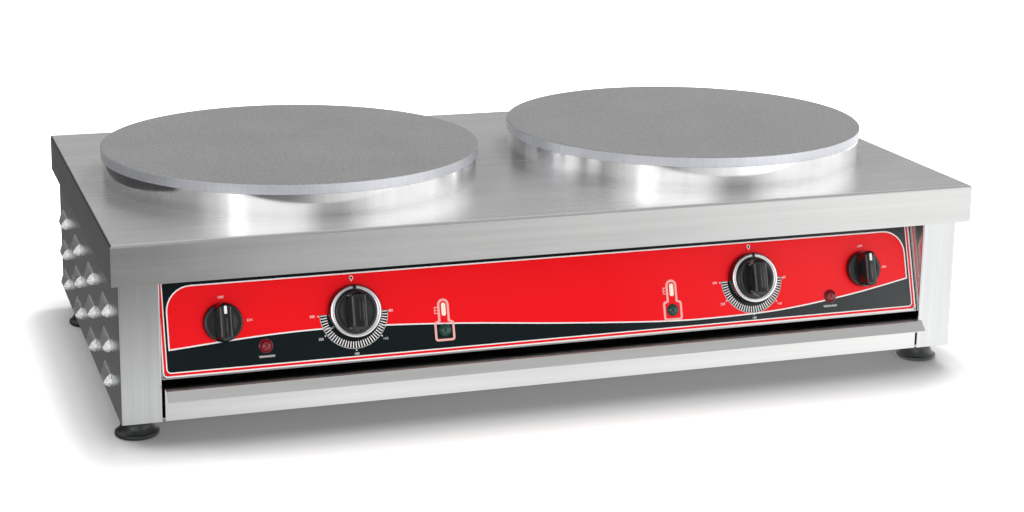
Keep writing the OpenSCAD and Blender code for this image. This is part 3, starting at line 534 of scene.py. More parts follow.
@dataclass(frozen=True)
class LampGlass(Finish):
    """Tinted lens over a dark lamp: small prisms and a deeper tone inside."""

    prism_scale: float = 900.0
    prism_depth: float = 0.0002
    transmission: float = 0.1

    def detail(self, graph: Graph, shader: bpy.types.Node, place: bpy.types.NodeSocket) -> None:
        """Adds the prisms' pattern to colour and bump.

        Args:
            graph: the material's graph.
            shader: its principled shader.
            place: coordinates in metres.
        """
        cells = graph.add("TexVoronoi", Scale=self.prism_scale)
        graph.join(place, cells.inputs["Vector"])
        shader.inputs["Transmission Weight"].default_value = self.transmission
        graph.join(graph.ramp(cells.outputs["Distance"], [(0.1, self.tint(1.5)), (0.6, self.tint(0.5))]),
                   shader.inputs["Base Color"])
        graph.join(graph.bump(cells.outputs["Distance"], 0.15, self.prism_depth), shader.inputs["Normal"])


@dataclass(frozen=True)
class Fibrous(Finish):
    """Pressed fibre board: crossing fibres and loose surface."""

    fibre_scale: float = 300.0
    fibre_depth: float = 0.0006

    def detail(self, graph: Graph, shader: bpy.types.Node, place: bpy.types.NodeSocket) -> None:
        """Adds two crossing layers of fibres.

        Args:
            graph: the material's graph.
            shader: its principled shader.
            place: coordinates in metres.
        """
        one = graph.noise(place, self.fibre_scale, (0.2, 1.0, 1.0), 6.0)
        two = graph.noise(place, self.fibre_scale, (1.0, 0.2, 1.0), 6.0)
        both = graph.reckon("MULTIPLY", one, two)
        graph.join(graph.ramp(both, [(0.15, self.tint(0.8)), (0.4, self.tint(1.05))]), shader.inputs["Base Color"])
        graph.join(graph.bump(both, 1.0, self.fibre_depth), shader.inputs["Normal"])


# The top sheet's top face is less metallic than its aprons: painted light.
TOP_STEEL = SheetSteel("Top sheet steel", "brushed_stainless", (0.57, 0.57, 0.565), 0.25, marks=0.035,
                       rubbed_above=0.2033)
SIDE_STEEL = SheetSteel("Side panel steel", "brushed_stainless", (0.6, 0.605, 0.61), 0.2, wave=0.00002,
                        grain=Grain.ALONG_Y)
POST_STEEL = SheetSteel("Front steel", "brushed_stainless", (0.66, 0.66, 0.655), 0.2, grain=Grain.ALONG_X)
# Painted highlight: the louvres' noses get a lighter, less metallic copy of the side steel where they face the light.
LOUVRE_NOSE_HIGHLIGHT_STEEL = SheetSteel("Louvre steel", "brushed_stainless", (0.93, 0.935, 0.94), 0.34, metallic=0.4,
                          grain=Grain.ALONG_Y)
# Painted light: the barrels get a lighter copy of the side steel, standing in for the highlight along their crowns.
BARREL_PAINTED_LIGHT_STEEL = SheetSteel("Louvre barrel painted light steel", "brushed_stainless", (0.7, 0.705, 0.71), 0.28, metallic=0.8,
                          grain=Grain.ALONG_Y)
BAND_STEEL = PolishedSteel("Polished band", "polished_steel", (0.86, 0.86, 0.865))
MILL_STEEL = Plated("Mill sheet", "plain_sheet", (0.5, 0.5, 0.5), 0.38, mottle=60.0, spread=0.08)
ZINC = Plated("Zinc plating", "zinc_plated", (0.66, 0.67, 0.68), 0.28, mottle=240.0, spread=0.1)
SHEATH = Plated("Element sheath", "element_sheath", (0.24, 0.22, 0.2), 0.46, mottle=90.0, spread=0.35)
COPPER = Plated("Bulb copper", "copper", (0.78, 0.42, 0.27), 0.3, mottle=200.0, spread=0.14)
RING_ALUMINIUM = Plated("Dial ring aluminium", "bright_ring", (0.74, 0.74, 0.75), 0.22, mottle=500.0, spread=0.05,
                        pit_depth=0.00001)
BLACK_GLOSS = Moulded("Black gloss plastic", "black_gloss", (0.004, 0.005, 0.006), 0.12, coat=0.25,
                      skin_depth=0.000006)
BLACK_SATIN = Moulded("Black satin plastic", "black_plastic", (0.014, 0.015, 0.016), 0.42)
FOOT_BLACK = Moulded("Foot plastic", "foot_plastic", (0.012, 0.014, 0.014), 0.36, coat=0.15)
WHITE_MARK = Moulded("Pointer white", "white_print", (0.85, 0.85, 0.84), 0.4, spread=0.03)
CERAMIC = Moulded("Glazed ceramic", "ceramic", (0.82, 0.8, 0.74), 0.22, coat=0.4, skin=500.0, spread=0.05)
WIRE_SLEEVE = Moulded("Wire sleeve", "wire_sleeve", (0.33, 0.13, 0.06), 0.5, spread=0.2)
BOARD = Fibrous("Insulation board", "insulation_board", (0.78, 0.75, 0.68), 0.95)
# The black and red prints carry a painted sheen: more specular towards the right.
INK_BLACK = Ink("Black print", "printed_film", (0.004, 0.0085, 0.01), 0.3, specular=0.1, sheen=0.8)
INK_RED = Ink("Red print", "printed_film", (0.86, 0.006, 0.011), 0.34, specular=0.1, sheen=0.4)
INK_WHITE = Ink("White print", "printed_film", (0.88, 0.86, 0.85), 0.36)
INK_ROSE = Ink("Rose print", "printed_film", (0.86, 0.42, 0.4), 0.36)
INK_CREAM = Ink("Cream print", "printed_film", (0.92, 0.86, 0.74), 0.36)
LENS_GREEN = LampGlass("Green lens", "green_lens", (0.0, 0.075, 0.05), 0.06, coat=0.2)
LENS_RED = LampGlass("Red lens", "red_lens", (0.3, 0.003, 0.012), 0.06, coat=0.2)


# ---------------------------------------------------------------- meshes


class Former:
    """Collects solids for one piece and turns them into an object that rides on a body."""

    def __init__(self, name: str, *finishes: Finish) -> None:
        """Starts an empty piece.

        Args:
            name: the object's name.
            finishes: its finishes; a solid picks one by number.
        """
        self.name = name.lower().replace(" ", "_")
        self.finishes = finishes
        self.bm = bmesh.new()

    def _row(self, points: Section) -> list[bmesh.types.BMVert]:
        """Adds a row of corners, given in millimetres."""
        return [self.bm.verts.new((x * MM, y * MM, z * MM)) for x, y, z in points]

    def _close(self, faces: list[bmesh.types.BMFace], finish: int, place: Matrix) -> None:
        """Places new faces and gives them a finish.

        Args:
            faces: the new faces.
            finish: number of their finish.
            place: where they go, in metres.
        """
        verts = {vert for face in faces for vert in face.verts}
        bmesh.ops.transform(self.bm, matrix=place, verts=list(verts))
        for face in faces:
            face.material_index = finish
            face.smooth = True

    def revolve(self, profile: Outline, place: Matrix = Matrix(), finish: int = 0, segments: int = 96,
                sweep: tuple[float, float] = (0.0, 360.0)) -> None:
        """Turns a profile round Z.

        Args:
            profile: radius and height of each point, in millimetres.
            place: where the solid goes, in metres.
            finish: number of its finish.
            segments: steps round the axis.
            sweep: first and last angle in degrees; a part turn gets flat ends.
        """
        whole = abs(sweep[1] - sweep[0] - 360.0) < 1e-6
        steps = segments if whole else segments + 1
        rings = []
        for radius, height in profile:
            if radius < 1e-9:
                rings.append(self._row([(0.0, 0.0, height)]))
                continue
            turns = [math.radians(sweep[0] + (sweep[1] - sweep[0]) * step / segments) for step in range(steps)]
            rings.append(self._row([(radius * math.cos(turn), radius * math.sin(turn), height) for turn in turns]))
        faces = []
        for low, high in zip(rings, rings[1:]):
            for step in range(segments):
                after = (step + 1) % steps
                if len(low) == 1 and len(high) == 1:
                    continue
                if len(low) == 1:
                    faces.append(self.bm.faces.new((low[0], high[after], high[step])))
                elif len(high) == 1:
                    faces.append(self.bm.faces.new((low[step], low[after], high[0])))
                else:
                    faces.append(self.bm.faces.new((low[step], low[after], high[after], high[step])))
        if not whole:
            faces.append(self.bm.faces.new([ring[0] for ring in rings]))
            faces.append(self.bm.faces.new([ring[-1] for ring in reversed(rings)]))
        self._close(faces, finish, place)

    def prism(self, outline: Outline, low: float, high: float, place: Matrix = Matrix(), finish: int = 0,
              taper: float = 0.0) -> None:
        """Raises an outline along Z.

        Args:
            outline: corners in millimetres, counterclockwise.
            low: height of the underside in millimetres.
            high: height of the top in millimetres.
            place: where the solid goes, in metres.
            finish: number of its finish.
            taper: how far the top's corners move towards the middle, as a share.
        """
        mid_x = sum(x for x, _ in outline) / len(outline)
        mid_y = sum(y for _, y in outline) / len(outline)
        bottom = self._row([(x, y, low) for x, y in outline])
        top = self._row([(x + (mid_x - x) * taper, y + (mid_y - y) * taper, high) for x, y in outline])
        faces = [self.bm.faces.new(list(reversed(bottom))), self.bm.faces.new(top)]
        count = len(outline)
        for i in range(count):
            after = (i + 1) % count
            faces.append(self.bm.faces.new((bottom[i], bottom[after], top[after], top[i])))
        self._close(faces, finish, place)

    def band(self, line: Outline, width: float, low: float, high: float, place: Matrix = Matrix(),
             finish: int = 0, closed: bool = False) -> None:
        """Lays a flat band along a line.

        Args:
            line: the band's middle line in millimetres.
            width: its width in millimetres.
            low: height of the underside in millimetres.
            high: height of the top in millimetres.
            place: where the band goes, in metres.
            finish: number of its finish.
            closed: whether the line runs round to its start.
        """
        count = len(line)
        left, right = [], []
        for i, (x, y) in enumerate(line):
            before = line[(i - 1) % count] if closed or i > 0 else line[i]
            after = line[(i + 1) % count] if closed or i < count - 1 else line[i]
            run_in = Vector((x - before[0], y - before[1]))
            run_out = Vector((after[0] - x, after[1] - y))
            run_in = run_in.normalized() if run_in.length > 1e-9 else run_out.normalized()
            run_out = run_out.normalized() if run_out.length > 1e-9 else run_in
            mean = (run_in + run_out).normalized()
            across = Vector((-mean.y, mean.x)) * (width / 2 / max(0.4, mean.dot(run_in)))
            left.append((x + across.x, y + across.y))
            right.append((x - across.x, y - across.y))
        low_left, low_right, high_left, high_right = (
            self._row([(x, y, height) for x, y in side]) for height in (low, high) for side in (left, right))
        faces = []
        for i in range(count if closed else count - 1):
            after = (i + 1) % count
            for four in ((high_left[i], high_right[i], high_right[after], high_left[after]),
                         (low_left[i], low_left[after], low_right[after], low_right[i]),
                         (low_left[i], high_left[i], high_left[after], low_left[after]),
                         (low_right[i], low_right[after], high_right[after], high_right[i])):
                faces.append(self.bm.faces.new(four))
        if not closed:
            for i in (0, -1):
                faces.append(self.bm.faces.new((low_left[i], low_right[i], high_right[i], high_left[i])))
        self._close(faces, finish, place)

    def loft(self, sections: list[Section], place: Matrix = Matrix(), finish: int = 0) -> None:
        """Skins a row of closed sections with equal numbers of points, and caps both ends.

        Args:
            sections: each section's points in millimetres.
            place: where the solid goes, in metres.
            finish: number of its finish.
        """
        rows = [self._row(section) for section in sections]
        count = len(rows[0])
        faces = [self.bm.faces.new(list(reversed(rows[0]))), self.bm.faces.new(rows[-1])]
        for low, high in zip(rows, rows[1:]):
            for i in range(count):
                after = (i + 1) % count
                faces.append(self.bm.faces.new((low[i], low[after], high[after], high[i])))
        self._close(faces, finish, place)

    def lettering(self, words: str, height: float, place: Matrix, finish: int = 0, thick: float = 0.05) -> None:
        """Adds raised letters, centred on the place.

        Args:
            words: what they say.
            height: the capitals' height in millimetres.
            place: where their middle goes, in metres.
            finish: number of their finish.
            thick: how far they stand up in millimetres.
        """
        curve = bpy.data.curves.new(self.name + " words", "FONT")
        curve.body = words
        curve.size = height * MM / CAPITAL
        curve.align_x = "CENTER"
        curve.align_y = "CENTER"
        curve.extrude = thick * MM / 2
        holder = bpy.data.objects.new(self.name + " words", curve)
        mesh = bpy.data.meshes.new_from_object(holder)
        before = set(self.bm.faces)
        self.bm.from_mesh(mesh)
        faces = [face for face in self.bm.faces if face not in before]
        self._close(faces, finish, place)
        bpy.data.objects.remove(holder)
        bpy.data.curves.remove(curve)
        bpy.data.meshes.remove(mesh)

    def done(self, body: str, *nodes: str, crease: float = 32.0) -> None:
        """Makes the object, lets it ride and hides what it stands for.

        Args:
            body: the moving body that it rides on.
            nodes: CAD nodes that it replaces.
            crease: edges sharper than this many degrees stay sharp.
        """
        bmesh.ops.recalc_face_normals(self.bm, faces=self.bm.faces)
        mesh = bpy.data.meshes.new(self.name)
        self.bm.to_mesh(mesh)
        self.bm.free()
        for finish in self.finishes:
            mesh.materials.append(finish.material())
        mesh.set_sharp_from_angle(angle=math.radians(crease))
        piece = bpy.data.objects.new(self.name, mesh)
        bpy.context.scene.collection.objects.link(piece)
        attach(piece, body)
        if nodes:
            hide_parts(*nodes)
        LOG.info("%s rides on %s", self.name, body)


def arc(x: float, y: float, radius: float, start: float, stop: float, steps: int = 8) -> Outline:
    """Returns points along an arc.

    Args:
        x: centre across.
        y: centre up.
        radius: the arc's radius.
        start: first angle in degrees.
        stop: last angle in degrees.
        steps: how many stretches the arc has.

    Returns:
        The arc's points.
    """
    turns = [math.radians(start + (stop - start) * i / steps) for i in range(steps + 1)]
    return [(x + radius * math.cos(turn), y + radius * math.sin(turn)) for turn in turns]


def rounded(width: float, height: float, radius: float, x: float = 0.0, y: float = 0.0) -> Outline:
    """Returns a rectangle with round corners.

    Args:
        width: its whole width.
        height: its whole height.
        radius: the corners' radius.
        x: its middle across.
        y: its middle up.

    Returns:
        The outline's points, counterclockwise.
    """
    across, up = width / 2 - radius, height / 2 - radius
    return (arc(x + across, y + up, radius, 0, 90) + arc(x - across, y + up, radius, 90, 180)
            + arc(x - across, y - up, radius, 180, 270) + arc(x + across, y - up, radius, 270, 360))


def dress(finish: Finish, *nodes: str) -> None:
    """Gives CAD nodes a finish and leaves their shape alone.

    Args:
        finish: the finish.
        nodes: the nodes' names.
    """
    for node in nodes:
        held = frame["nodes"][node].data.materials
        held.clear()
        held.append(finish.material())
        LOG.info("%s keeps its CAD shape", node)


def joint(name: str) -> dict:
    """Returns one of the frame's joints by its name."""
    return next(entry for entry in frame["joints"] if entry["name"] == name)


def middle(node: str) -> Vector:
    """Returns the middle of a CAD node's box."""
    low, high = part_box(node)
    return (Vector(low) + Vector(high)) / 2


# ---------------------------------------------------------------- the griddle


class Side(Enum):
    """The operator's left or right; the value is the sign of X."""

    LEFT = -1
    RIGHT = 1

    @property
    def word(self) -> str:
        """The side's name as the CAD nodes have it."""
        return self.name.lower()

    @property
    def title(self) -> str:
        """The side's name as a new piece or finish has it."""
        return self.name.title()


class End(Enum):
    """The cabinet's front or rear; the value is its name in the CAD nodes."""

    FRONT = "front"
    REAR = "rear"


@dataclass
class PanelFace:
    """The tilted control panel's face: u runs across, v up the slope, w out of it, in millimetres."""

    knob_v: float = 50.0
    film_thick: float = 0.5
    out: Vector = field(init=False)
    up: Vector = field(init=False)
    base: Vector = field(init=False)
    switch_u: float = field(init=False)
    dial_u: float = field(init=False)

    def __post_init__(self) -> None:
        """Reads the slope and its place from a switch's joint."""
        turn = joint("right_switch_turn")
        self.out = -Vector(turn["axis"]).normalized()
        self.up = self.out.cross(Vector((1, 0, 0))).normalized()
        knob = Vector(turn["pos_m"])
        self.base = Vector((0.0, knob.y, knob.z)) - self.up * self.knob_v * MM
        self.switch_u = knob.x / MM
        self.dial_u = joint("right_dial_turn")["pos_m"][0] / MM

    def at(self, u: float = 0.0, v: float = 0.0, w: float = 0.0) -> Matrix:
        """Finds a place on the face.

        Args:
            u: distance to the right of the middle.
            v: distance up the slope from the face's foot.
            w: height over the sheet.

        Returns:
            The matrix that puts a piece there, standing out of the face.
        """
        turn = Matrix((Vector((1, 0, 0)), self.up, self.out)).transposed().to_4x4()
        spot = self.base + Vector((u * MM, 0, 0)) + self.up * (v * MM) + self.out * (w * MM)
        return Matrix.Translation(spot) @ turn


@dataclass
class Cabinet:
    """Folded sheet cabinet: top sheet, side panels, rear, pans and everything shut inside."""

    def build(self) -> None:
        """Dresses the cabinet's CAD nodes."""
        dress(TOP_STEEL, "top_sheet")
        dress(SIDE_STEEL, "left_side_panel", "right_side_panel", "rear_panel")
        dress(POST_STEEL, "control_panel", "tray_box")
        dress(MILL_STEEL, "base_pan", "electrics_shelf", "tray_runners")
        dress(ZINC, "plate_studs", "plate_nuts", "bar_fasteners", "small_fasteners")
        dress(CERAMIC, "element_insulators", "terminal_block")
        dress(WIRE_SLEEVE, "wiring")
        dress(BLACK_SATIN, "lamp_bodies", "left_switch", "right_switch", "cable_gland")
        for side in Side:
            word = side.word
            dress(SHEATH, f"{word}_heating_element")
            dress(BOARD, f"{word}_insulation")
            dress(MILL_STEEL, f"{word}_element_clamp", f"{word}_insulation_pan", f"{word}_thermostat")
            dress(ZINC, f"{word}_support_bar", f"{word}_switch_spindle", f"{word}_dial_spindle")
            dress(COPPER, f"{word}_thermostat_bulb")


@dataclass
class Louvres:
    """The pressed louvres of one side wall: a ribbed round nose that faces forwards and a barrel that runs out.

    Sizes are in millimetres. The barrel keeps its height over the level stretch, and then falls to the wall.
    """

    side: Side
    wall: float = 445.98
    front: float = -171.0
    low: float = 45.5
    pitch: tuple[float, float] = (115.0, 35.5)
    count: tuple[int, int] = (4, 3)
    nose: float = 4.6
    nose_back: float = 1.0
    nose_steps: int = 9
    barrel: tuple[float, ...] = (1.0, 8.0, 16.0, 23.0, 26.0, 31.0, 36.0, 41.0, 44.0, 47.0)
    tail: float = 47.3
    fall: float = 24.0
    half: float = 6.6
    out: float = 7.4
    drop: float = 1.8
    square: tuple[float, float] = (1.05, 1.5)
    ribs: int = 5
    rib_depth: float = 0.3
    steps: int = 48

    def section(self, along: float) -> Section:
        """Returns one section across a louvre, from its lower edge over its crown to the upper one.

        Args:
            along: distance behind the CAD nose in millimetres; the round nose lies before it.

        Returns:
            The section's points in millimetres, X to the side and Z up.
        """
        wide = out = 1.0
        most = self.out * min(1.0, (self.tail - along) / self.fall)
        if along < self.nose_back:
            out = math.sin(math.pi / 2 * (along + self.nose) / (self.nose + self.nose_back)) ** 0.8
            wide = 0.3 + 0.7 * out
        ribbed = self.rib_depth * max(0.0, 1 - abs(along + 0.5 * self.nose) / (0.5 * self.nose + self.nose_back))
        points = []
        for i in range(self.steps + 1):
            turn = math.pi * i / self.steps - math.pi / 2
            rib = 1 - ribbed * abs(math.sin(self.ribs * turn)) ** 6
            square = self.square[turn > 0]
            over = min(most, self.out * out * rib * abs(math.cos(turn)) ** square)
            up = math.copysign(abs(math.sin(turn)) ** square, turn) * rib * wide
            reach = self.half + math.copysign(self.drop, turn)
            points.append((self.side.value * (self.wall + over), along, up * reach - self.drop * wide))
        return points

    def build(self) -> None:
        """Builds the louvres over the side panel's own."""
        # Noses and barrels take painted-light copies of the wall's steel: a painted highlight on the noses, a lighter
        # tone on the barrels.
        shells = Former(f"{self.side.title} louvres", LOUVRE_NOSE_HIGHLIGHT_STEEL, BARREL_PAINTED_LIGHT_STEEL)
        steps = self.nose_steps
        nose = [-self.nose + (self.nose + self.nose_back) * i / steps for i in range(steps + 1)]
        for column in range(self.count[0]):
            for row in range(self.count[1]):
                spot = Matrix.Translation((0.0, (self.front + column * self.pitch[0]) * MM,
                                           (self.low + row * self.pitch[1]) * MM))
                shells.loft([self.section(along) for along in nose], spot)
                shells.loft([self.section(along) for along in self.barrel], spot, 1)
        shells.done("cabinet", crease=60.0)


@dataclass
class GriddlePlate:
    """One round cast plate on its polished collar."""

    side: Side
    iron: Colour = (0.31, 0.31, 0.312)

    def build(self) -> None:
        """Dresses the plate and its collar."""
        node = f"{self.side.word}_griddle_plate"
        centre = middle(node)
        iron = GriddleIron(f"{self.side.title} griddle iron", "griddle_iron", self.iron,
                           centre_x=centre.x, centre_y=centre.y)
        dress(iron, node)
        dress(BAND_STEEL, f"{self.side.word}_collar")


@dataclass
class PanelPrint:
    """The printed film: a red field on black, its lines, the dials' scales and the plain signs."""

    face: PanelFace
    frame_half: float = 404.3
    frame_low: float = 2.2
    frame_top: float = 104.0
    frame_corner: float = 4.0
    field_half: float = 397.4
    field_top: float = 87.6
    field_corner: float = 24.0
    line: float = 1.35
    layer: float = 0.08
    label_height: float = 2.4
    knots: Levels = ((-397.4, 27.6), (-300.0, 34.2), (-215.0, 35.0), (-110.0, 29.6), (0.0, 20.6), (110.0, 13.2),
                     (175.0, 12.0), (250.0, 14.6), (330.0, 24.2), (397.4, 36.0))
    knot_steps: int = 8
    scale_radius: tuple[float, float] = (27.4, 33.8)
    scale_ticks: int = 36
    scale_drop: float = 2.2
    tick: float = 0.95
    numbers: tuple[tuple[str, float, float], ...] = (("50", 0, 38.0), ("110", -42, 40.6), ("180", -90, 39.6),
                                                     ("250", -147, 41.4), ("300", -180, 42.0))
    dot: float = 0.7
    mark_rise: float = 35.4
    lamp_v: float = 23.8
    green_u: float = 123.2
    red_u: float = 303.6
    box: float = 9.3
    tube: float = 4.9
    tube_top: float = 49.2
    sign_line: float = 2.3
    zigzag: tuple[float, float, float] = (-7.8, 12.6, 14.6)
    zigzag_step: float = 1.3
    zigzag_turns: int = 12
    off_rise: float = 24.0
    on_out: float = 26.6

    def sweep(self) -> Outline:
        """Runs one easy curve through the knots of the red field's lower edge.

        Returns:
            The edge's points, from left to right.
        """
        knots = self.knots
        points: Outline = []
        for i in range(len(knots) - 1):
            before, start = knots[max(0, i - 1)], knots[i]
            stop, after = knots[i + 1], knots[min(len(knots) - 1, i + 2)]
            for step in range(self.knot_steps):
                t = step / self.knot_steps
                lift = []
                for axis in (0, 1):
                    out, into = (stop[axis] - before[axis]) / 2, (after[axis] - start[axis]) / 2
                    lift.append((2 * t**3 - 3 * t**2 + 1) * start[axis] + (t**3 - 2 * t**2 + t) * out
                                + (3 * t**2 - 2 * t**3) * stop[axis] + (t**3 - t**2) * into)
                points.append((lift[0], lift[1]))
        return points + [knots[-1]]

    def field_outline(self) -> Outline:
        """Closes the red field over its lower edge.

        Returns:
            The field's outline, counterclockwise.
        """
        across, up, corner = self.field_half, self.field_top, self.field_corner
        return (self.sweep() + arc(across - corner, up - corner, corner, 0, 90)
                + arc(-across + corner, up - corner, corner, 90, 180))

    def level(self, number: int) -> tuple[float, float]:
        """Finds a layer of ink.

        Args:
            number: 1 for the ink on the film, more for ink on ink.

        Returns:
            Its underside and top over the sheet.
        """
        low = self.face.film_thick + (number - 1) * self.layer
        return max(low, self.face.film_thick - 0.02), low + self.layer

    def build(self) -> None:
        """Builds the fields, lines, scales and signs."""
        dress(INK_BLACK, "panel_film")
        self.fields()
        self.borders()
        for side in Side:
            self.scale(side)
            self.lamp_sign(side)
            self.switch_words(side)

    def fields(self) -> None:
        """Builds the red field and its white edge."""
        field = Former("Red field", INK_RED)
        field.prism(self.field_outline(), *self.level(1), self.face.at())
        field.done("cabinet")
        edge = Former("Red field edge", INK_WHITE)
        edge.band(self.field_outline(), self.line, *self.level(2), self.face.at(), closed=True)
        edge.done("cabinet")

    def borders(self) -> None:
        """Builds the white and red lines round the film, open at its top."""
        for name, finish, inset, width in (("Outer white line", INK_WHITE, 0.0, 1.3),
                                           ("Red pinstripe", INK_RED, 1.9, 2.3),
                                           ("Inner white line", INK_WHITE, 3.5, 1.1)):
            across = self.frame_half - inset
            low = self.frame_low + inset
            corner, middle_v = across - self.frame_corner, low + self.frame_corner
            line = [(across, self.frame_top)] + arc(corner, middle_v, self.frame_corner, 0, -90)
            line += arc(-corner, middle_v, self.frame_corner, -90, -180) + [(-across, self.frame_top)]
            former = Former(name, finish)
            former.band(line, width, *self.level(1 if finish is INK_RED else 2), self.face.at())
            former.done("cabinet")

    def scale(self, side: Side) -> None:
        """Builds a thermostat's ticks, numbers, dots and drop mark.

        Args:
            side: which thermostat.
        """
        u, v = side.value * self.face.dial_u, self.face.knob_v - self.scale_drop
        near, far = self.scale_radius
        ticks = Former(f"{side.title} scale", INK_WHITE, INK_BLACK)
        ring = (arc(0, 0, far + 0.8, 178, 362, 48) + arc(0, 0, near - 6.0, 362, 178, 48))
        ticks.prism(ring, *self.level(2), self.face.at(u, v), 1)
        for i in range(self.scale_ticks + 1):
            angle = math.radians(180 + 180 * i / self.scale_ticks)
            along = Vector((math.cos(angle), math.sin(angle)))
            ticks.band([tuple(along * near), tuple(along * far)], self.tick, *self.level(3), self.face.at(u, v))
        ticks.band(arc(0, 0, far + 0.5, 180, 360, 60), 0.3, *self.level(3), self.face.at(u, v))
        ticks.done("cabinet")
        words = Former(f"{side.title} numbers", INK_WHITE, INK_BLACK)
        for text, degrees, out in self.numbers:
            turn = math.radians(degrees)
            spot = (u + out * math.cos(turn), v + out * math.sin(turn))
            words.lettering(text, self.label_height, self.face.at(*spot, self.level(3)[1]))
            dot = (u + (far + 2.2) * math.cos(turn), v + (far + 2.2) * math.sin(turn))
            words.prism(arc(*dot, self.dot, 0, 337.5, 15), *self.level(3), self.face.at())
        drop = arc(0, 0, 1.15, 200, -20, 14)[::-1] + [(0, -2.4)]
        mark = self.face.at(u, v + self.mark_rise)
        words.prism([(x * 1.7, y * 1.6) for x, y in drop], *self.level(2), mark)
        words.prism(drop, *self.level(3), mark, 1)
        words.done("cabinet")

    def lamp_sign(self, side: Side) -> None:
        """Builds the thermometer sign round a green lamp and the zigzag under a red one.

        Args:
            side: which pair of lamps.
        """
        place = self.face.at(side.value * self.green_u)
        corner, low, high, tube = self.box - 2.0, self.lamp_v - 7.6, self.lamp_v + 6.2, self.tube
        neck = self.lamp_v + 9.4
        line = (arc(-corner, low, 2.0, 180, 270, 4) + arc(corner, low, 2.0, 270, 360, 4)
                + arc(corner, high, 2.0, 0, 90, 4) + [(tube, neck)] + arc(0, self.tube_top, tube, 0, 180, 12)
                + [(-tube, neck)] + arc(-corner, high, 2.0, 90, 180, 4))
        sign = Former(f"{side.title} thermometer sign", INK_ROSE, INK_CREAM)
        sign.band(line, self.sign_line, *self.level(3), place, closed=True)
        sign.prism(rounded(4.4, 13.0, 2.1, 0.2, 44.6), *self.level(3), place, 1)
        near, far = -tube - 1.0, -tube - 4.2
        sign.band([(near, 41.0), (far, 41.0), (far, 47.0), (near, 47.0)], 0.9, *self.level(3), place)
        sign.band([(far, 44.0), (near, 44.0)], 0.7, *self.level(4), place)
        sign.done("cabinet")
        start, low, high = self.zigzag
        zigzag = [(start + self.zigzag_step * i, low if i % 2 else high) for i in range(self.zigzag_turns + 1)]
        heat = Former(f"{side.title} heat sign", INK_WHITE)
        heat.band(zigzag, 0.5, *self.level(3), self.face.at(side.value * self.red_u))
        heat.done("cabinet")

    def switch_words(self, side: Side) -> None:
        """Prints OFF above a switch and ON at its right.

        Args:
            side: which switch.
        """
        u, v = side.value * self.face.switch_u, self.face.knob_v
        words = Former(f"{side.title} switch words", INK_WHITE)
        words.lettering("OFF", self.label_height, self.face.at(u, v + self.off_rise, self.level(3)[1]))
        words.lettering("ON", self.label_height, self.face.at(u + self.on_out, v, self.level(3)[1]))
        words.done("cabinet")


@dataclass
class Grip:
    """A knob's finger bar: waisted flanks, a flat top and rounded ends."""

    width: float
    top_width: float
    length: float
    low: float
    high: float
    round_end: float = 3.0
    facet: float = 1.7
    steps: int = 28
    flank_steps: int = 8
    ridge_half: float = 0.95
    ridge_rise: float = 0.48

    def sections(self) -> list[Section]:
        """Cuts the bar across, closer together towards its ends.

        Returns:
            The sections from one end to the other.
        """
        rows = []
        reach = self.length / 2
        for i in range(self.steps + 1):
            t = math.sin(math.pi / 2 * (2 * i / self.steps - 1))
            v = reach * t
            room = math.sqrt(max(0.0, (reach + 0.2) ** 2 - v * v))
            squeeze = min(1.0, room / (self.width / 2))
            fall = self.round_end * max(0.0, (abs(t) - 0.72) / 0.28) ** 2.4
            rows.append(self.section(v, squeeze, fall))
        return rows

    def section(self, v: float, squeeze: float, fall: float) -> Section:
        """Cuts the bar across once.

        Args:
            v: the cut's place along the bar.
            squeeze: share of the full width there.
            fall: how far the top has dropped there.

        Returns:
            The closed section's points in millimetres.
        """
        half, top, rise = self.width / 2 * squeeze, self.top_width / 2 * squeeze, self.high - fall
        flank = []
        shoulder = rise - 0.6 - self.facet * math.sin(math.radians(30))
        for i in range(self.flank_steps + 1):
            t = i / self.flank_steps
            flank.append((half - (half - top) * (1 - (1 - t) ** 2.2), self.low + (shoulder - self.low) * t))
        flat = top - self.facet * math.cos(math.radians(30))
        right = flank + [(top - 0.25, shoulder + 0.6), (flat, rise - 0.05), (flat - 0.3, rise)]
        left = [(-u, w) for u, w in reversed(right)]
        return [(u, v, w) for u, w in right + left]

    def ridge(self, former: Former, place: Matrix, u: float, start: float, stop: float) -> None:
        """Adds a low roof-shaped ridge along the bar's flat top.

        Args:
            former: the knob's piece.
            place: the knob's place.
            u: the ridge's middle across the bar.
            start: its first end along the bar.
            stop: its last end.
        """
        rows = []
        for v, share in ((start, 0.2), (start + 1.2, 1.0), (stop - 1.2, 1.0), (stop, 0.2)):
            half, top = self.ridge_half * share, self.high + self.ridge_rise * share
            rows.append([(u + half, v, self.high - 0.1), (u + 0.1, v, top), (u - 0.1, v, top),
                         (u - half, v, self.high - 0.1)])
        former.loft(rows, place)


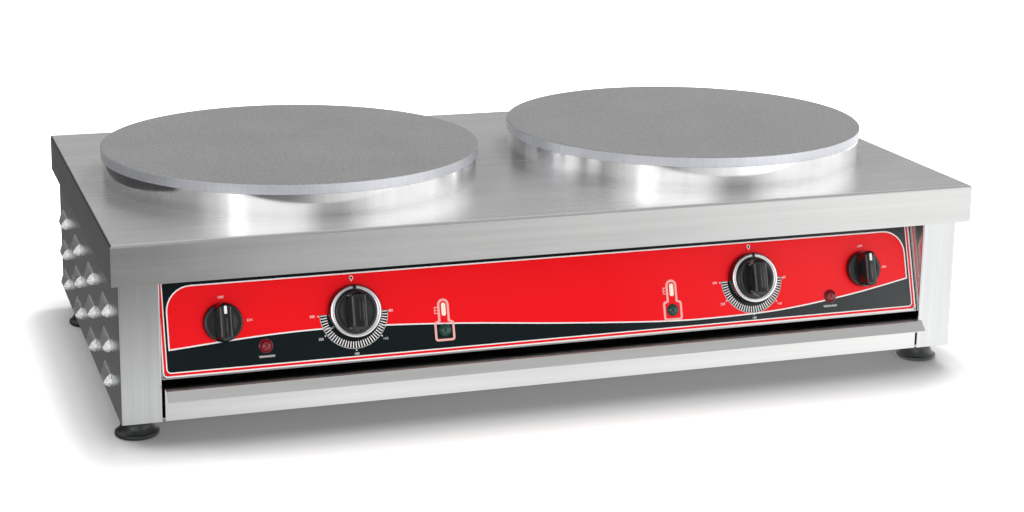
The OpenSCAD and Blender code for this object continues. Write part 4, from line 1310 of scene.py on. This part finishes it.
@dataclass
class SwitchKnob:
    """Rotary on/off knob: low round skirt, waisted finger bar and a white pointer."""

    face: PanelFace
    side: Side
    diameter: float = 38.5
    lift: float = 0.8
    skirt: float = 7.0
    height: float = 22.0
    grip_width: float = 19.0
    grip_top: float = 11.4

    def build(self) -> None:
        """Builds the knob and its pointer."""
        base = self.face.film_thick + self.lift
        place = self.face.at(self.side.value * self.face.switch_u, self.face.knob_v, base)
        body = f"{self.side.word}_switch_turning"
        radius = self.diameter / 2
        knob = Former(f"{self.side.title} switch knob", BLACK_GLOSS)
        profile = [(3.2, 0.0), (radius - 1.4, 0.0), (radius - 0.5, 0.4), (radius, 1.2),
                   (radius - 0.2, self.skirt - 2.2)]
        profile += arc(radius - 2.2, self.skirt - 2.0, 2.0, 5, 90, 7)
        profile += [(radius - 5.0, self.skirt + 0.25), (radius - 8.0, self.skirt - 0.35), (0.0, self.skirt - 0.5)]
        knob.revolve(profile, place)
        bar = Grip(self.grip_width, self.grip_top, self.diameter - 1.6, self.skirt - 1.0, self.height - 0.5)
        knob.loft(bar.sections(), place)
        bar.ridge(knob, place, 0.3, -radius + 3.4, radius - 13.0)
        knob.done(body, f"{self.side.word}_switch_knob")
        pointer = Former(f"{self.side.title} switch pointer", WHITE_MARK)
        mark = rounded(2.9, 8.4, 1.4, 0.0, radius - 7.4)
        pointer.prism(mark, self.height - 1.4, self.height - 0.02, place, taper=0.06)
        pointer.done(body, f"{self.side.word}_switch_pointer")


@dataclass
class DialKnob:
    """Thermostat knob: black skirt, bright notched ring and a tall grooved finger bar."""

    face: PanelFace
    side: Side
    diameter: float = 53.0
    lift: float = 0.8
    skirt: float = 9.0
    height: float = 26.0
    ring_outer: float = 51.0
    ring_width: float = 4.6
    ring_notch: float = 9.0
    grip_width: float = 22.0
    grip_top: float = 14.4
    ridges: tuple[float, ...] = (0.4, 3.6)

    def build(self) -> None:
        """Builds the knob and its ring."""
        base = self.face.film_thick + self.lift
        place = self.face.at(self.side.value * self.face.dial_u, self.face.knob_v, base)
        body = f"{self.side.word}_dial_turning"
        radius, seat = self.diameter / 2, self.ring_outer / 2 - self.ring_width
        knob = Former(f"{self.side.title} dial", BLACK_GLOSS)
        profile = [(3.2, 0.0), (radius - 0.8, 0.0), (radius, 0.8), (radius - 0.1, self.skirt - 1.4),
                   (radius - 0.7, self.skirt - 0.5), (radius - 1.2, self.skirt - 0.1), (seat, self.skirt - 0.1)]
        profile += [(seat - 0.2, self.skirt + 1.6)] + arc(seat - 1.6, self.skirt + 1.6, 1.4, 0, 90, 5)[1:]
        profile += [(seat - 5.0, self.skirt + 3.0), (seat - 8.0, self.skirt + 2.4), (0.0, self.skirt + 2.2)]
        knob.revolve(profile, place)
        bar = Grip(self.grip_width, self.grip_top, 2 * seat - 3.0, self.skirt + 1.0, self.height - 0.5, round_end=4.0)
        knob.loft(bar.sections(), place)
        for u in self.ridges:
            bar.ridge(knob, place, u, -seat + 4.5, seat - 4.5)
        knob.done(body, f"{self.side.word}_dial")
        ring = Former(f"{self.side.title} dial ring", RING_ALUMINIUM)
        outer = self.ring_outer / 2
        section = [(outer, 0.0), (outer - 0.3, 0.7), (outer - 1.1, 1.2), (outer - 2.6, 1.25), (seat + 0.6, 0.95),
                   (seat + 0.1, 0.5), (seat + 0.1, 0.0)]
        half = self.ring_notch / 2
        ring.revolve([(r, z + self.skirt) for r, z in section], place, segments=120, sweep=(90 + half, 450 - half))
        ring.done(body, f"{self.side.word}_dial_ring")


class LampColour(Enum):
    """A pilot lamp's colour; the value is its name in the CAD nodes."""

    GREEN = "green"
    RED = "red"

    @property
    def lens(self) -> Finish:
        """The lens's finish."""
        return LENS_GREEN if self is LampColour.GREEN else LENS_RED

    @property
    def size(self) -> tuple[float, float]:
        """The lens's diameter and height in millimetres."""
        return (12.4, 3.4) if self is LampColour.GREEN else (14.0, 5.0)


@dataclass
class PilotLamp:
    """One pilot lamp: a thin bezel and a faceted dome."""

    face: PanelFace
    side: Side
    colour: LampColour
    v: float = 23.8
    rise: float = 1.5
    facets: int = 24
    dome_steps: int = 8

    def build(self) -> None:
        """Builds the lens over its CAD node's place."""
        node = f"{self.side.word}_{self.colour.value}_lamp"
        diameter, height = self.colour.size
        place = self.face.at(middle(node).x / MM, self.v, self.face.film_thick)
        radius, rise = diameter / 2, self.rise
        lamp = Former(f"{self.side.title} {self.colour.value} lamp", self.colour.lens, BLACK_GLOSS)
        seat = [(radius - 0.4, 0.1), (radius - 0.3, 0.5), (radius + 0.1, 0.35), (radius + 0.25, 0.0)]
        lamp.revolve(seat, place, 1, 64)
        rim = radius - 1.5
        lens = [(radius - 0.1, 0.0), (radius - 0.1, 0.9), (radius - 0.35, rise), (radius - 0.9, rise + 0.25),
                (rim, rise - 0.1)]
        for i in range(1, self.dome_steps):
            turn = math.pi / 2 * i / self.dome_steps
            lens.append((rim * math.cos(turn), rise - 0.1 + (height - rise) * math.sin(turn)))
        lamp.revolve(lens + [(0.0, height - 0.1)], place, 0, self.facets)
        lamp.done("cabinet", node, crease=14.0)


@dataclass
class TrayFront:
    """The crumb tray's folded front: upright face, flat top flange and a sloping lip with a hem."""

    thick: float = 1.2
    flat: float = 12.0
    slope: float = 9.0
    bend: float = 1.6
    hem: float = 0.75

    def profile(self, high: float) -> Outline:
        """Draws the fold from its side.

        Args:
            high: height of the flange's top over the foot, in millimetres.

        Returns:
            The section's points, forwards and up from the face's foot.
        """
        t, r, hem = self.thick, self.bend, self.hem
        slant = math.sqrt(0.5)
        ahead, up = self.flat + self.slope, high - self.slope
        out = [(0.0, 0.3), (0.0, high - t - 0.6), (0.5, high - t), (self.flat - 1.0, high - t),
               (ahead - t * slant - 0.5, up - t * slant + 0.5)]
        out += arc(ahead - hem - 0.01, up + hem * slant - 0.4, hem, -135, 45, 6)
        out += arc(self.flat - r * 0.4, high - r, r, 45, 90, 5) + arc(r - t, high - r, r, 90, 180, 6)
        return out + [(-t, 0.3), (-t + 0.3, 0.0), (-0.3, 0.0)]

    def build(self) -> None:
        """Builds the folded front over its CAD node's place."""
        low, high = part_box("tray_front")
        half, foot = high[0] / MM, low[2] / MM
        face_y = low[1] / MM + self.flat + self.slope
        section = self.profile(high[2] / MM - foot)
        fold = Former("Tray front", POST_STEEL)
        fold.loft([[(x, face_y - out, foot + up) for out, up in section]
                   for x in (-half, -half + 0.3, half - 0.3, half)])
        fold.done("crumb_tray", "tray_front", crease=24.0)


@dataclass
class LevellingFoot:
    """A flared moulded foot on a threaded stud."""

    end: End
    side: Side
    rim: float = 21.75
    neck: float = 15.6
    top: float = 22.0
    stud: float = 5.0
    pitch: float = 1.5
    flare_steps: int = 12

    def build(self) -> None:
        """Builds the foot and its stud over the CAD node's place."""
        node = f"{self.end.value}_{self.side.word}_foot"
        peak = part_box(node)[1][2] / MM
        centre = middle(node)
        place = Matrix.Translation((centre.x, centre.y, 0.0))
        foot = Former(node, FOOT_BLACK, ZINC)
        flare = [(0.0, 0.0), (self.rim - 2.0, 0.0), (self.rim - 0.9, 0.3), (self.rim, 1.4), (self.rim, 3.4)]
        flare += arc(self.rim - 1.2, 3.4, 1.2, 0, 80, 5)[1:]
        for i in range(1, self.flare_steps + 1):
            t = i / self.flare_steps
            waist = self.neck + (self.rim - 1.6 - self.neck) * (1 - t) ** 2.3
            flare.append((waist, 4.6 + (self.top - 7.0 - 4.6) * t))
        flare += [(self.neck + 0.4, self.top - 5.8), (self.neck + 0.4, self.top - 1.0),
                  (self.neck - 0.4, self.top - 0.2), (self.neck - 1.2, self.top), (self.stud + 0.3, self.top),
                  (0.0, self.top)]
        foot.revolve(flare, place)
        up = self.top - 0.6
        thread = [(0.0, up), (self.stud - 0.7, up)]
        while up + self.pitch < peak - 1.0:
            thread += [(self.stud - 0.8, up + 0.2), (self.stud - 0.02, up + self.pitch * 0.5),
                       (self.stud - 0.8, up + self.pitch)]
            up += self.pitch
        thread += [(self.stud - 0.9, peak - 0.8), (self.stud - 1.6, peak), (0.0, peak)]
        foot.revolve(thread, place, 1, 40)
        foot.done(node + "_turning", node, crease=40.0)


# ---------------------------------------------------------------- studio


def grey(level: float) -> Colour:
    """Makes a grey."""
    return (level,) * 3


@dataclass(frozen=True)
class SoftBox:
    """An area light that metal doesn't mirror; its place and size are in metres, its power in watts."""

    name: str
    place: Place
    aim: Place
    size: tuple[float, float]
    power: float

    def build(self) -> None:
        """Hangs the light so that it faces its aim."""
        data = bpy.data.lights.new(self.name, "AREA")
        data.shape = "RECTANGLE"
        data.size, data.size_y = self.size
        data.energy = self.power
        light = bpy.data.objects.new(self.name, data)
        light.location = self.place
        light.rotation_euler = (Vector(self.aim) - Vector(self.place)).to_track_quat("-Z", "Y").to_euler()
        light.visible_glossy = False
        bpy.context.scene.collection.objects.link(light)


@dataclass
class Studio:
    """Pale floor, soft lights, white surround and the camera.

    Places are in metres. A level is a brightness, where the white that the eye sees is 1. The room's levels go by
    the compass, in degrees from the front towards the right; the floor's go by X.
    """

    lens: float = 70.843
    shift: float = -0.0889
    eye: Place = (-0.68113, -2.06726, 0.69569)
    turn: Place = (77.0969, -0.7809, -18.6241)
    boxes: tuple[SoftBox, ...] = (SoftBox("Key box", (1.3, 1.2, 2.3), (0.0, 0.0, 0.1), (1.3, 1.3), 42.0),
                                  SoftBox("Left box", (-1.9, 0.2, 1.8), (-0.2, 0.0, 0.2), (1.0, 1.0), 20.0),
                                  SoftBox("Front box", (-0.1, -3.3, 0.95), (0.0, 0.0, 0.15), (3.0, 1.1), 53.0))
    brightest: float = 3.0
    fill: float = 0.5
    overhead: float = 0.66
    overhead_fade: tuple[float, float] = (0.32, 0.62)
    room: Levels = ((-180, 0.36), (-165, 0.03), (-130, 0.03), (-100, 0.05), (-72, 0.26), (-52, 1.4), (-47, 3.0),
                    (-43, 3.0), (-38, 1.9), (-8, 1.7), (2, 0.75), (8, 0.34), (20, 0.4), (26, 0.85), (42, 1.8),
                    (95, 1.9), (122, 1.15), (145, 0.38), (165, 0.32), (180, 0.34))
    floor_half: float = 9.0
    floor_reach: float = 1.2
    floor_near: Levels = ((-1.2, 0.5), (-0.44, 0.85), (-0.33, 1.02), (-0.2, 1.2), (0.0, 1.2), (0.27, 1.38),
                          (0.45, 1.5), (1.2, 1.5))
    floor_far: Levels = ((-1.2, 0.1), (-0.47, 0.2), (-0.3, 0.36), (-0.24, 0.48), (-0.15, 0.6), (0.06, 0.76),
                         (0.38, 1.0), (0.6, 1.4), (1.2, 1.6))
    floor_beside: Levels = ((-1.2, 0.06), (-0.45, 0.13), (-0.4, 0.5), (0.4, 1.2), (1.2, 1.4))
    far_fade: tuple[float, float] = (-0.8, -0.4)
    beside_fade: tuple[float, float] = (-0.32, -0.2)
    # Painted shadow: the footprint, its shift to the left, its reach and levels shape the floor's dark zone round the
    # part.
    shade_middle: tuple[float, float] = (-0.008, 0.004)
    shade_half: tuple[float, float] = (0.446, 0.2425)
    shade_squeeze: float = 1.7
    shade_reach: float = 0.25
    shade_levels: Levels = ((0.0, 0.1), (0.16, 0.24), (0.3, 0.5), (0.46, 0.85), (0.64, 1.0))
    # Painted shade: within this reach the floor's colour darkens by occlusion, by these levels.
    contact_reach: float = 0.16
    contact_levels: Levels = ((0.35, 0.3), (0.75, 0.7), (0.97, 0.9))

    def build(self) -> None:
        """Sets up view, floor, surround, lights and camera."""
        scene = bpy.context.scene
        scene.view_settings.view_transform = "Standard"
        self.floor()
        self.surround()
        for box in self.boxes:
            box.build()
        self.camera()

    def around(self, graph: Graph, place: bpy.types.NodeSocket) -> bpy.types.NodeSocket:
        """Gives the room's brightness, as metal shows it, by the compass.

        Args:
            graph: the tree that needs it.
            place: a direction from the part or a place on the floor.

        Returns:
            The brightness, as a share of the brightest wall.
        """
        parts = graph.split(place).outputs
        turn = graph.reckon("ARCTAN2", parts["X"], graph.reckon("MULTIPLY", parts["Y"], -1.0))
        stops = [((degrees + 180) / 360, grey(level / self.brightest)) for degrees, level in self.room]
        return graph.ramp(graph.remap(turn, 0.0, 1.0, -math.pi, math.pi), stops)

    def seen_floor(self, graph: Graph) -> bpy.types.NodeSocket:
        """Gives the floor's brightness as metal shows it: dim on the left, bright on the right and close by.

        Args:
            graph: the floor's graph.

        Returns:
            The emission's socket.
        """
        parts = graph.split(graph.add("NewGeometry").outputs["Position"]).outputs
        reach = self.floor_reach
        across = graph.remap(parts["X"], 0.0, 1.0, -reach, reach)
        near, far, beside = (graph.ramp(across, [((x + reach) / 2 / reach, grey(level / self.brightest))
                                                 for x, level in levels])
                             for levels in (self.floor_near, self.floor_far, self.floor_beside))
        ahead = graph.blend(graph.remap(parts["Y"], 1.0, 0.0, *self.far_fade), near, far)
        shown = graph.add("Emission", Strength=self.brightest)
        graph.join(graph.blend(graph.remap(parts["Y"], 0.0, 1.0, *self.beside_fade), ahead, beside),
                   shown.inputs["Color"])
        return shown.outputs[0]

    def clearing(self, graph: Graph) -> bpy.types.NodeSocket:
        """Gives the light that clears the floor to white away from the part, to the eye only. Over and round the
        part's footprint it stays low, which paints the shadow's shape there.

        Args:
            graph: the floor's graph.

        Returns:
            The emission's socket.
        """
        place = graph.add("NewGeometry").outputs["Position"]
        steps = (("SUBTRACT", (*self.shade_middle, 0.0)), ("ABSOLUTE", None), ("SUBTRACT", (*self.shade_half, 0.0)),
                 ("MAXIMUM", (0.0, 0.0, 0.0)), ("MULTIPLY", (self.shade_squeeze, 1.0, 1.0)))
        for operation, value in steps:
            step = graph.add("VectorMath", operation=operation)
            graph.join(place, step.inputs[0])
            if value is not None:
                step.inputs[1].default_value = value
            place = step.outputs["Vector"]
        gap = graph.add("VectorMath", operation="LENGTH")
        graph.join(place, gap.inputs[0])
        away = graph.remap(gap.outputs["Value"], 0.0, 1.0, 0.0, self.shade_reach)
        clear = graph.add("Emission")
        graph.join(graph.ramp(away, [(share, grey(level)) for share, level in self.shade_levels]),
                   clear.inputs["Color"])
        graph.join(graph.add("LightPath").outputs["Is Camera Ray"], clear.inputs["Strength"])
        return clear.outputs[0]

    def floor(self) -> None:
        """Lays the floor: it keeps the part's shadow, deepened by painted shade from occlusion and shaped by a
        painted shadow round the footprint, and fades to white further out.
        """
        mesh = bpy.data.meshes.new("floor")
        half = self.floor_half
        mesh.from_pydata([(-half, -half, 0), (half, -half, 0), (half, half, 0), (-half, half, 0)], [], [(0, 1, 2, 3)])
        floor = bpy.data.objects.new("floor", mesh)
        bpy.context.scene.collection.objects.link(floor)
        material = bpy.data.materials.new("Studio floor")
        material.use_nodes = True
        graph = Graph(material.node_tree)
        output = graph.add("OutputMaterial")
        # Painted shade: ambient occlusion darkens the floor's colour under and round the part.
        shade = graph.add("AmbientOcclusion", samples=8, Distance=self.contact_reach)
        tone = graph.ramp(shade.outputs["AO"], [(share, grey(level)) for share, level in self.contact_levels])
        matte = graph.add("BsdfDiffuse")
        graph.join(tone, matte.inputs["Color"])
        lit = graph.add("AddShader")
        graph.join(matte.outputs[0], lit.inputs[0])
        graph.join(self.clearing(graph), lit.inputs[1])
        mirrored = graph.add("LightPath").outputs["Is Glossy Ray"]
        graph.join(graph.choose(mirrored, lit.outputs[0], self.seen_floor(graph)), output.inputs["Surface"])
        mesh.materials.append(material)

    def surround(self) -> None:
        """Makes the world white to the eye and, to metal, a room whose brightness goes by the compass."""
        world = bpy.data.worlds.new("Studio")
        bpy.context.scene.world = world
        world.use_nodes = True
        graph = Graph(world.node_tree)
        output = graph.add("OutputWorld")
        seen = graph.add("LightPath").outputs
        way = graph.add("TexCoord").outputs["Generated"]
        above = graph.remap(graph.split(way).outputs["Z"], 0.0, 1.0, *self.overhead_fade)
        room = graph.add("Background", Strength=self.brightest)
        graph.join(graph.blend(above, self.around(graph, way), self.overhead / self.brightest), room.inputs["Color"])
        fill = graph.add("Background", Color=(1, 1, 1, 1), Strength=self.fill)
        white = graph.add("Background", Color=(1, 1, 1, 1), Strength=1.0)
        metal = graph.choose(seen["Is Glossy Ray"], fill.outputs[0], room.outputs[0])
        eye = graph.reckon("MAXIMUM", seen["Is Camera Ray"], seen["Is Transmission Ray"])
        graph.join(graph.choose(eye, metal, white.outputs[0]), output.inputs["Surface"])

    def camera(self) -> None:
        """Stands the camera."""
        data = bpy.data.cameras.new("Camera")
        data.lens = self.lens
        data.sensor_width = 36.0
        data.shift_y = self.shift
        camera = bpy.data.objects.new("Camera", data)
        camera.location = self.eye
        camera.rotation_euler = [math.radians(part) for part in self.turn]
        bpy.context.scene.collection.objects.link(camera)
        bpy.context.scene.camera = camera


def main() -> None:
    logging.basicConfig(level=logging.INFO, format="%(name)s: %(message)s")
    face = PanelFace()
    Cabinet().build()
    for side in Side:
        Louvres(side).build()
        GriddlePlate(side).build()
        SwitchKnob(face, side).build()
        DialKnob(face, side).build()
        for colour in LampColour:
            PilotLamp(face, side, colour).build()
    PanelPrint(face).build()
    TrayFront().build()
    for end in End:
        for side in Side:
            LevellingFoot(end, side).build()
    Studio().build()


if __name__ == "__main__":
    main()
